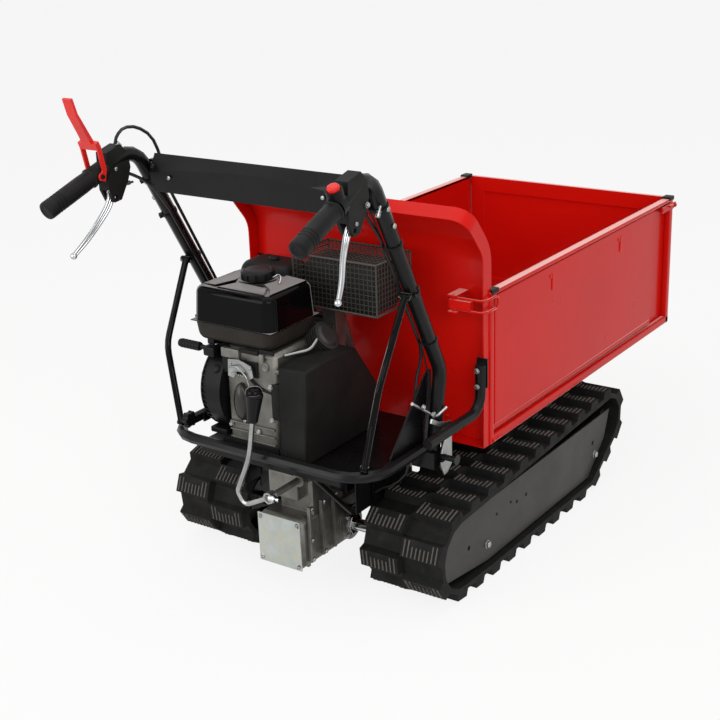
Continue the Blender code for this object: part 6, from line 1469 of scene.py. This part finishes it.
@dataclass
class Engine:
    """The petrol engine with its tank, muffler, filter and starter.

    The parts of its rear face are placed from that face: their depths are added to rear_y.
    """

    rear_y: float = -0.4955
    filter_tray: Shell = Shell("tray", (-0.200, -0.337, 0.561), (-0.068, -0.244, 0.586), 20, 4,
                               (0.96, 0.96), -1)
    filter_lid: Shell = Shell("lid", (-0.202, -0.338, 0.587), (-0.067, -0.243, 0.620), 22, 13,
                              (0.84, 0.84), 1)
    filter_knob: tuple = ((11, 619), (11, 624), (8, 627), (2, 628))
    filter_knob_at: tuple = (-0.134, -0.290, 0)
    tank_upper: Shell = Shell("upper", (-0.178, -0.501, 0.5475), (0.017, -0.348, 0.6145), 24, 12,
                              (0.965, 0.95), 1)
    tank_seam: Shell = Shell("seam", (-0.1788, -0.5018, 0.5460), (0.0178, -0.3472, 0.5476), 24.5,
                             0.5, (1.0, 1.0), 1)
    tank_lower: Shell = Shell("tank_lower_shell", (-0.178, -0.501, 0.508), (0.017, -0.348, 0.5460),
                              24, 14, (0.95, 0.96), -1)
    facet_z: tuple = (0.6060, 0.6185)
    facets: tuple = (
        ("left_facet", ((-0.165, -0.474), (-0.128, -0.480), (-0.112, -0.440), (-0.112, -0.367),
                        (-0.161, -0.367)), -5, "Y"),
        ("rear_facet", ((-0.122, -0.485), (-0.003, -0.487), (-0.024, -0.453),
                        (-0.098, -0.447)), 5, "X"),
        ("right_facet", ((0.005, -0.484), (0.006, -0.366), (-0.044, -0.366), (-0.044, -0.440),
                         (-0.017, -0.454)), 4, "Y"),
    )
    tank_rails_x: tuple = (-0.150, -0.020)
    tank_rail_wide: float = 0.016
    neck: tuple = ((44, 606), (43, 616), (39, 620), (35, 621), (27.5, 621.5), (27.0, 620))
    cap_at: tuple = (-0.078, -0.412)
    cap_profile: tuple = ((31.5, 621.5), (33.0, 622.2), (33.0, 634), (31.5, 637.5), (27.0, 640),
                          (24.5, 639.0), (22.0, 640.4), (6.0, 641.0))
    cap_flutes: int = 12
    flute_z: tuple = (0.6225, 0.6338)
    flute_inset: float = 0.0008
    flute_depth: float = 0.0022
    tether: tuple = ((0.032, 0.004, 0.625), (0.043, 0.010, 0.633), (0.054, 0.004, 0.629),
                     (0.058, -0.008, 0.620))
    crank_at: tuple = (-0.105, -0.425, 0.405)
    starter_radius_mm: float = 92.0
    starter_profile: tuple = ((-4, 0), (0, 0.5), (0, 36), (-3, 36.4), (-3, 45.6), (0, 46),
                              (-2, 50), (-10, 53.5), (-14, 52.5), (-40, 55), (-44, 52),
                              (-68, 52), (-71, 54), (-72, 60), (-77, 63), (-86, 64))
    starter_slats: int = 48
    slat_x: float = -0.1460
    slat_sink_mm: float = 2.0
    slat_share: float = 0.42
    starter_vanes: int = 14
    vane_x: float = -0.1590
    vane_out: float = 0.063
    starter_dome: tuple = ((9, 0), (8.6, 2.4), (6.4, 4.4), (2.0, 5.2))
    starter_dome_at: tuple = (-0.122, -0.5015, 0.4555)
    starter_bolts_x: float = -0.1555
    starter_bolts_out: float = 0.083
    starter_bolt_degs: tuple = (35, 155, 275)
    pull_at: tuple = (-0.165, -0.493, 0.491)
    pull_rings: int = 6
    pull_ring_mm: float = 8.0
    pull_stem: tuple = ((4.5, 0), (4.8, 1), (4.8, 24), (6.5, 30))
    pull_stem_at: tuple = (-0.140, -0.491, 0.490)
    sump_ribs_z: tuple = (0.318, 0.334, 0.350)
    pushrod: tuple = ((0.0215, -0.470, 0.4974), (0.0454, -0.420, 0.498), (0.0407, -0.380, 0.5154))
    barrel_at: tuple = (0.004, -0.368, 0.478)
    barrel_axis: tuple = (0.78, 0.10, 0.62)
    fins: int = 9
    fin_pitch_mm: float = 6.0
    barrel_radius_mm: float = 24.0
    fin_radius_mm: float = 31.0
    fuel_hose: tuple = ((-0.040, -0.470, 0.508), (-0.052, -0.492, 0.492),
                        (-0.048, -0.497, 0.452), (-0.020, -0.497, 0.432),
                        (0.016, -0.492, 0.424))
    bracket: tuple = ((-0.086, 0.484), (-0.060, 0.487), (-0.030, 0.478), (-0.026, 0.456),
                      (-0.036, 0.450), (-0.044, 0.464), (-0.066, 0.462), (-0.074, 0.448),
                      (-0.088, 0.450))
    bracket_deep: tuple = (-0.012, -0.009)
    bracket_arm: tuple = ((-0.082, -0.015, 0.470), (-0.060, -0.018, 0.476),
                          (-0.040, -0.016, 0.458), (-0.034, -0.014, 0.436))
    spring_at: tuple = (-0.076, -0.016, 0.458)
    spring_points: int = 40
    spring_step: float = 0.0009
    spring_radius: float = 0.0028
    oval_cover: tuple = ((21, 0), (20.5, 8), (17, 14), (9, 17), (3, 17.6))
    oval_cover_at: tuple = (-0.064, 0.001, 0.398)
    oval_cover_squeeze: tuple = (0.80, 1.0, 1.85, 1)
    case_bolts: tuple = ((Bolt.PAN, -0.0621, 0.3573), (Bolt.HEX, -0.0287, 0.3413),
                         (Bolt.PAN, -0.0961, 0.492), (Bolt.HEX, 0.006, 0.440),
                         (Bolt.HEX, -0.096, 0.345), (Bolt.HEX, 0.006, 0.372))
    bracket_screws: tuple = ((-0.0797, 0.4778), (-0.0332, 0.474))
    cage_low: tuple = (-0.061, -0.323, 0.549)
    cage_high: tuple = (0.136, -0.203, 0.651)
    mesh_mm: float = 10.0
    wire_mm: float = 1.1
    cage_rim_mm: float = 2.4
    cage_upright_mm: float = 2.2

    def air_filter(self) -> None:
        """Moulds the air filter's low housing with its domed lid."""
        knob = lathe("knob", self.filter_knob, self.filter_knob_at, sides=16)
        made = [self.filter_tray.pressed(), self.filter_lid.pressed(), knob]
        dress(joined("air_filter_moulded", made), DARK_DUCT, "chassis", "air_filter_cover")

    def tank(self) -> None:
        """Makes the tank of two pressed shells, with raised panels on its top."""
        upper, seam = self.tank_upper.pressed(), self.tank_seam.pressed()
        dress(self.tank_lower.pressed(), UNDERCOAT, "chassis")
        low, high = self.facet_z
        panels = []
        for name, outline, tilt_deg, axis in self.facets:
            panel = plate(name, outline, "Z", low, high, 2.5)
            middle = Matrix.Translation((sum(p[0] for p in outline) / len(outline),
                                         sum(p[1] for p in outline) / len(outline), high))
            turn = Matrix.Rotation(math.radians(tilt_deg), 4, axis)
            panel.matrix_world = middle @ turn @ middle.inverted()
            panels.append(settle(panel))
        neck = lathe("neck", self.neck, (*self.cap_at, 0), sides=40)
        tab = block("tab", (-0.196, -0.470, 0.540), (-0.176, -0.452, 0.5455), 1.5)
        shells = joined("fuel_tank_pressed", [upper, seam, neck, tab, *panels])
        dress(shells, BLACK_ENAMEL, "chassis", "fuel_tank")
        rails = [block("rail", (x, -0.490, 0.499), (x + self.tank_rail_wide, -0.356, 0.5095))
                 for x in self.tank_rails_x]
        dress(joined("tank_bracket", rails), POWDER_COAT, "chassis")

    def on_flute(self, centre: Vector) -> bool:
        """Tells the flutes of the cap's skirt, which are each third face round it.

        Args:
            centre: The middle of a face.

        Returns:
            Whether the face is a flute.
        """
        x, y = self.cap_at
        turn = math.atan2(centre.y - y, centre.x - x) / math.tau + 1
        low, high = self.flute_z
        return low < centre.z < high and int(turn * self.cap_flutes * 3) % 3 == 0

    def cap(self) -> None:
        """Turns the fuel cap with its fluted skirt and its tether."""
        x, y = self.cap_at
        cap = lathe("fuel_cap_fluted", self.cap_profile, (x, y, 0), sides=3 * self.cap_flutes,
                    smooth=30)
        with editing(cap, lambda centre, normal: self.on_flute(centre)):
            bpy.ops.mesh.inset(thickness=self.flute_inset, depth=-self.flute_depth)
        dress(settle(cap, 30), BLACK_MOULDED, "fuel_cap", "fuel_cap")
        tether = bar("cap_tether", [(x + out, y + along, z) for out, along, z in self.tether],
                     1.3, 0.012)
        dress(tether, CHROME, "chassis")

    def starter(self) -> None:
        """Makes the recoil starter: a domed housing with slats round its rim and its face."""
        y, z = self.crank_at[1:]
        rim = self.starter_radius_mm
        made = [lathe("shell", [(rim + inward, height) for inward, height in self.starter_profile],
                      self.crank_at, (-1, 0, 0), 64, 30)]
        slat = block("slat", (-0.0016, -0.0012, -0.014), (0.0016, 0.0016, 0.014), 0.4)
        lying = Matrix.Rotation(math.pi / 2, 4, "Y") @ Matrix.Scale(self.slat_share, 4, (0, 0, 1))
        for count, at_x, out, last in (
                (self.starter_slats, self.slat_x, (rim - self.slat_sink_mm) * MM, lying),
                (self.starter_vanes, self.vane_x, self.vane_out, Matrix.Identity(4))):
            for k in range(count):
                turn = Matrix.Rotation(k / count * math.tau, 4, "X")
                made.append(copied(slat, "slat", Matrix.Translation((at_x, y, z)) @ turn
                                   @ Matrix.Translation((0, 0, out)) @ last))
        bpy.data.objects.remove(slat)
        made.append(block("foot", (-0.150, -0.500, 0.318), (-0.108, -0.360, 0.330), 3.0))
        made.append(block("guide", (-0.152, -0.504, 0.478), (-0.124, -0.480, 0.498), 4.0))
        made.append(lathe("dome", self.starter_dome, self.starter_dome_at, (0, -0.84, 0.54), 24))
        dress(joined("recoil_starter", made), BLACK_MOULDED, "chassis", "recoil_housing")
        for angle in self.starter_bolt_degs:
            turn = math.radians(angle)
            BOLTS.add(Bolt.HEX, (self.starter_bolts_x, y + self.starter_bolts_out * math.cos(turn),
                                 z + self.starter_bolts_out * math.sin(turn)), (-1, 0, 0), 8.0)

    def pull_grip(self) -> None:
        """Makes the ribbed T grip on the end of the starter rope."""
        rings = [(5.0, 0), (8.0, 1.2)]
        for k in range(self.pull_rings):
            low = self.pull_ring_mm * k
            rings += [(8.2, low + 3), (9.2, low + 4.5), (9.2, low + 8), (8.2, low + 9.5)]
        rings += [(8.0, 53), (5.0, 55)]
        grip = lathe("grip", rings, self.pull_at, (-1, 0, 0), 20, 30)
        stem = lathe("stem", self.pull_stem, self.pull_stem_at, (-1, 0, 0.02), 16)
        dress(joined("starter_grip", [grip, stem]), BLACK_MOULDED, "recoil_grip", "recoil_grip")

    def castings(self) -> None:
        """Adds the cast ribs, boss, post, pad and arm of the crankcase's rear face."""
        y = self.rear_y
        made = [block("rib", (-0.098, y - 0.004, z), (0.012, y + 0.002, z + 0.004))
                for z in self.sump_ribs_z]
        made += [
            lathe("boss", [(10, 0), (9, 9), (7.5, 9.6), (6, 8.8)], (-0.0045, -0.488, 0.478),
                  (0, -1, 0), 20),
            lathe("post", [(5.5, 0), (5.0, 15), (4.5, 16)], (-0.0085, -0.5005, 0.489),
                  (0, 0, 1), 18),
            block("pad", (-0.108, y - 0.006, 0.484), (-0.064, y + 0.004, 0.503), 2.0),
            block("arm", (-0.010, -0.492, 0.466), (0.024, -0.472, 0.475), 3.0),
        ]
        dress(joined("crankcase_details", made), CAST_ALUMINIUM, "chassis")

    def cylinder(self) -> None:
        """Turns the finned cylinder barrel, and bends the rod of the valve gear beside it."""
        dress(bar("pushrod", self.pushrod, 3.6, 0.012), ZINC, "chassis")
        core, fin = self.barrel_radius_mm, self.fin_radius_mm
        rings = [(core - 4.0, 0), (core, 1.0)]
        for k in range(self.fins):
            low = self.fin_pitch_mm * k
            rings += [(core, low + 2), (fin, low + 3), (fin, low + 4.6), (core, low + 5.6)]
        rings.append((core - 4.0, 58))
        barrel = lathe("cylinder_fins", rings, self.barrel_at, self.barrel_axis, 36, 30)
        dress(barrel, CAST_IRON, "chassis")

    def shrouds_and_painted_shade(self) -> None:
        """Adds the carburettor, a black side cover, the fuel hose and thin black sheets of painted
        shade on the rear face.
        """
        y = self.rear_y
        made = [block(name, low, high, edge_mm) for name, low, high, edge_mm in (
            ("throttle_body", (-0.030, -0.470, 0.498), (0.006, -0.380, 0.5085), 4.0),
            ("float_bowl", (-0.112, -0.496, 0.462), (-0.090, -0.470, 0.504), 5.0),
            ("side_cover", (0.004, -0.497, 0.372), (0.030, -0.440, 0.448), 6.0),
            # The next four are thin dull black sheets laid flat on the rear face: painted shade
            # behind the governor, under the tank and at the foot of the face
            ("baffle", (-0.106, y - 0.003, 0.452), (-0.022, y - 0.0005, 0.484), 0.8),
            ("intake_duct", (-0.060, y - 0.007, 0.4995), (-0.016, y - 0.0005, 0.5085), 2.0),
            ("wire_cover", (-0.014, y - 0.004, 0.505), (0.020, y - 0.0005, 0.5130), 1.0),
            ("sump_guard", (-0.110, y - 0.005, 0.303), (0.020, y - 0.001, 0.316), 1.0),
        )]
        made.append(bar("fuel_hose", self.fuel_hose, 3.2, 0.014))
        dress(joined("engine_shrouds", made), DARK_DUCT, "chassis")

    def governor(self) -> None:
        """Cuts the governor's bracket and bends its arm and its coil spring."""
        y = self.rear_y
        front, back = self.bracket_deep
        bracket = plate("governor_bracket", self.bracket, "Y", y + front, y + back, 0.5)
        arm = bar("governor_arm", [(x, y + deep, z) for x, deep, z in self.bracket_arm], 1.6,
                  0.008)
        x, deep, z = self.spring_at
        coil = [(x + self.spring_step * k, y + deep + self.spring_radius * math.cos(k),
                 z + self.spring_radius * math.sin(k)) for k in range(self.spring_points)]
        dress(joined("governor", [bracket, arm, bar("governor_spring", coil, 0.5)]), ZINC,
              "chassis")

    def oil_cover(self) -> None:
        """Turns the domed cover of the rear face and squeezes it to its oval."""
        cover = lathe("oval_cover", self.oval_cover, (0, 0, 0), (0, -1, 0), 36, 40)
        x, deep, z = self.oval_cover_at
        squeezed = copied(cover, "oil_cover", Matrix.Translation((x, self.rear_y + deep, z))
                          @ Matrix.Diagonal(self.oval_cover_squeeze))
        bpy.data.objects.remove(cover)
        dress(settle(squeezed, 40), WAXY_NYLON, "chassis")

    def bolts(self) -> None:
        """Sets the bolts of the rear face and the screws of the governor's bracket."""
        for kind, x, z in self.case_bolts:
            BOLTS.add(kind, (x, self.rear_y - 0.001, z), (0, -1, 0), 8.0)
        for x, z in self.bracket_screws:
            BOLTS.add(Bolt.PAN, (x, self.rear_y + self.bracket_deep[0], z), (0, -1, 0), 7.0)

    def cage_walls(self) -> list[Piece]:
        """Lays the strands of the cage's fine mesh on all its walls but the bottom.

        Returns:
            The strands.
        """
        low, high = self.cage_low, self.cage_high
        half = 0.5 * self.wire_mm * MM
        strand = block("strand", (-0.5, -half, -half), (0.5, half, half), 0.0)
        made = []
        spans = [high[k] - low[k] for k in range(3)]
        turns = (Matrix.Identity(4), Matrix.Rotation(math.pi / 2, 4, "Z"),
                 Matrix.Rotation(math.pi / 2, 4, "Y"))
        for run in range(3):
            others = [k for k in range(3) if k != run]
            for wall, step in (others, others[::-1]):
                count = round(spans[step] / (self.mesh_mm * MM))
                for edge in (low[wall], high[wall]):
                    if wall == 2 and edge == low[2]:
                        continue
                    for k in range(count + 1):
                        at = [0.0, 0.0, 0.0]
                        at[run] = (low[run] + high[run]) / 2
                        at[wall] = edge
                        at[step] = low[step] + spans[step] * k / count
                        size = Matrix.Diagonal((spans[run], 1, 1, 1))
                        made.append(copied(strand, "strand",
                                           Matrix.Translation(at) @ turns[run] @ size))
        bpy.data.objects.remove(strand)
        return made

    def cage(self) -> None:
        """Welds the wire cage round the muffler: rims and uprights of bar, and fine mesh."""
        low, high = self.cage_low, self.cage_high
        made = self.cage_walls()
        corners = [(low[0], low[1]), (high[0], low[1]), (high[0], high[1]), (low[0], high[1])]
        for z in (low[2], high[2]):
            made.append(bar("rim", [(*corner, z) for corner in corners], self.cage_rim_mm,
                            closed=True, fineness=2))
        for corner in corners:
            made.append(bar("upright", [(*corner, low[2]), (*corner, high[2])],
                            self.cage_upright_mm, fineness=2))
        dress(joined("muffler_cage", made), CAGE_WIRE, "chassis", "muffler_guard")

    def build(self) -> None:
        """Dresses the engine and adds its outer pieces."""
        redone("engine_block", CAST_ALUMINIUM, 0.6)
        self.air_filter()
        redone("muffler", HEAT_PAINT, 6.0, 4)
        self.tank()
        self.cap()
        self.starter()
        self.pull_grip()
        self.castings()
        self.cylinder()
        self.shrouds_and_painted_shade()
        self.governor()
        self.oil_cover()
        self.bolts()
        self.cage()


@dataclass
class Gearbox:
    """The gearbox with its lever, knob and side cover."""

    cover_y: float = -0.4895
    cover_screws: tuple = ((-0.045, 0.064), (0.045, 0.064), (-0.045, 0.156), (0.045, 0.156))
    bearing: tuple = ((34, 0), (34, 6), (30, 8), (22, 8.5), (20, 12), (17, 12.5))
    bearing_at: tuple = (0.060, -0.332, 0.100)
    bearing_bolts_x: float = 0.066
    bearing_bolts_out: float = 0.028
    ribs_y: tuple = (-0.470, -0.430, -0.390)
    case_bolts_x: float = 0.0605
    case_bolts: tuple = ((-0.4602, 0.1838), (-0.462, 0.117), (-0.420, 0.1838),
                         (-0.380, 0.1838), (-0.420, 0.075), (-0.462, 0.075))
    pivot_nut: tuple = ((7, 0), (7.6, 0.8), (7.6, 9), (6.6, 10), (6.6, 13), (3.8, 13.4),
                        (3.8, 20), (3.0, 20.8))
    pivot_at: tuple = (0.046, -0.566, 0.248)
    dome: tuple = ((15.0, 0), (16.6, 1.5), (16.6, 4), (14.0, 9.5), (9, 12.5), (3, 13.4))
    dome_at: tuple = (0.018, -0.5605, 0.4515)

    def housing(self) -> None:
        """Adds the bearing plate, the ribs, the tower and the bolts of the housing."""
        ring = lathe("bearing_plate", self.bearing, self.bearing_at, (1, 0, 0), 32)
        ribs = [block("rib", (0.056, y, 0.070), (0.064, y + 0.006, 0.190), 1.2)
                for y in self.ribs_y]
        tower = block("tower", (-0.036, -0.470, 0.196), (0.036, -0.400, 0.252), 6.0)
        dress(joined("gearbox_details", [ring, *ribs, tower]), CAST_ALUMINIUM, "chassis")
        for y, z in self.case_bolts:
            BOLTS.add(Bolt.HEX, (self.case_bolts_x, y, z), (1, 0, 0), 9.0)
        y, z = self.bearing_at[1:]
        for angle in (45, 135, 225, 315):
            turn = math.radians(angle)
            BOLTS.add(Bolt.HEX, (self.bearing_bolts_x, y + self.bearing_bolts_out * math.cos(turn),
                                 z + self.bearing_bolts_out * math.sin(turn)), (1, 0, 0), 8.0)
        for x, z in self.cover_screws:
            BOLTS.add(Bolt.PAN, (x, self.cover_y, z), (0, -1, 0), 8.0)

    def linkage(self) -> None:
        """Turns the stepped nut of the shift lever's pivot."""
        nut = lathe("shift_pivot", self.pivot_nut, self.pivot_at, (1, 0, 0), 20, 20)
        dress(nut, CHROME, "chassis")

    def build(self) -> None:
        """Dresses the gearbox and adds its small pieces."""
        redone("gearbox", CAST_ALUMINIUM, 1.0)
        redone("gearbox_cover", CHROMATE, 0.5)
        redone("gear_lever", ZINC, 0.4)
        redone("gear_knob", BLACK_MOULDED, 1.0)
        dome = lathe("knob_dome", self.dome, self.dome_at, (0, -0.05, 1), 28, 40)
        dress(dome, BLACK_ENAMEL, "gear_lever")
        redone("star_knob", BLACK_MOULDED, 1.0)
        self.housing()
        self.linkage()


def main() -> None:
    """Builds the machine's looks and the studio."""
    logging.basicConfig(level=logging.INFO, format="%(name)s %(message)s")
    for group in (LoadBox(), Tracks(), Frame(), Controls(), Engine(), Gearbox()):
        log.info("building %s", type(group).__name__)
        group.build()
    BOLTS.place_all()
    Studio().build()


if __name__ == "__main__":
    main()
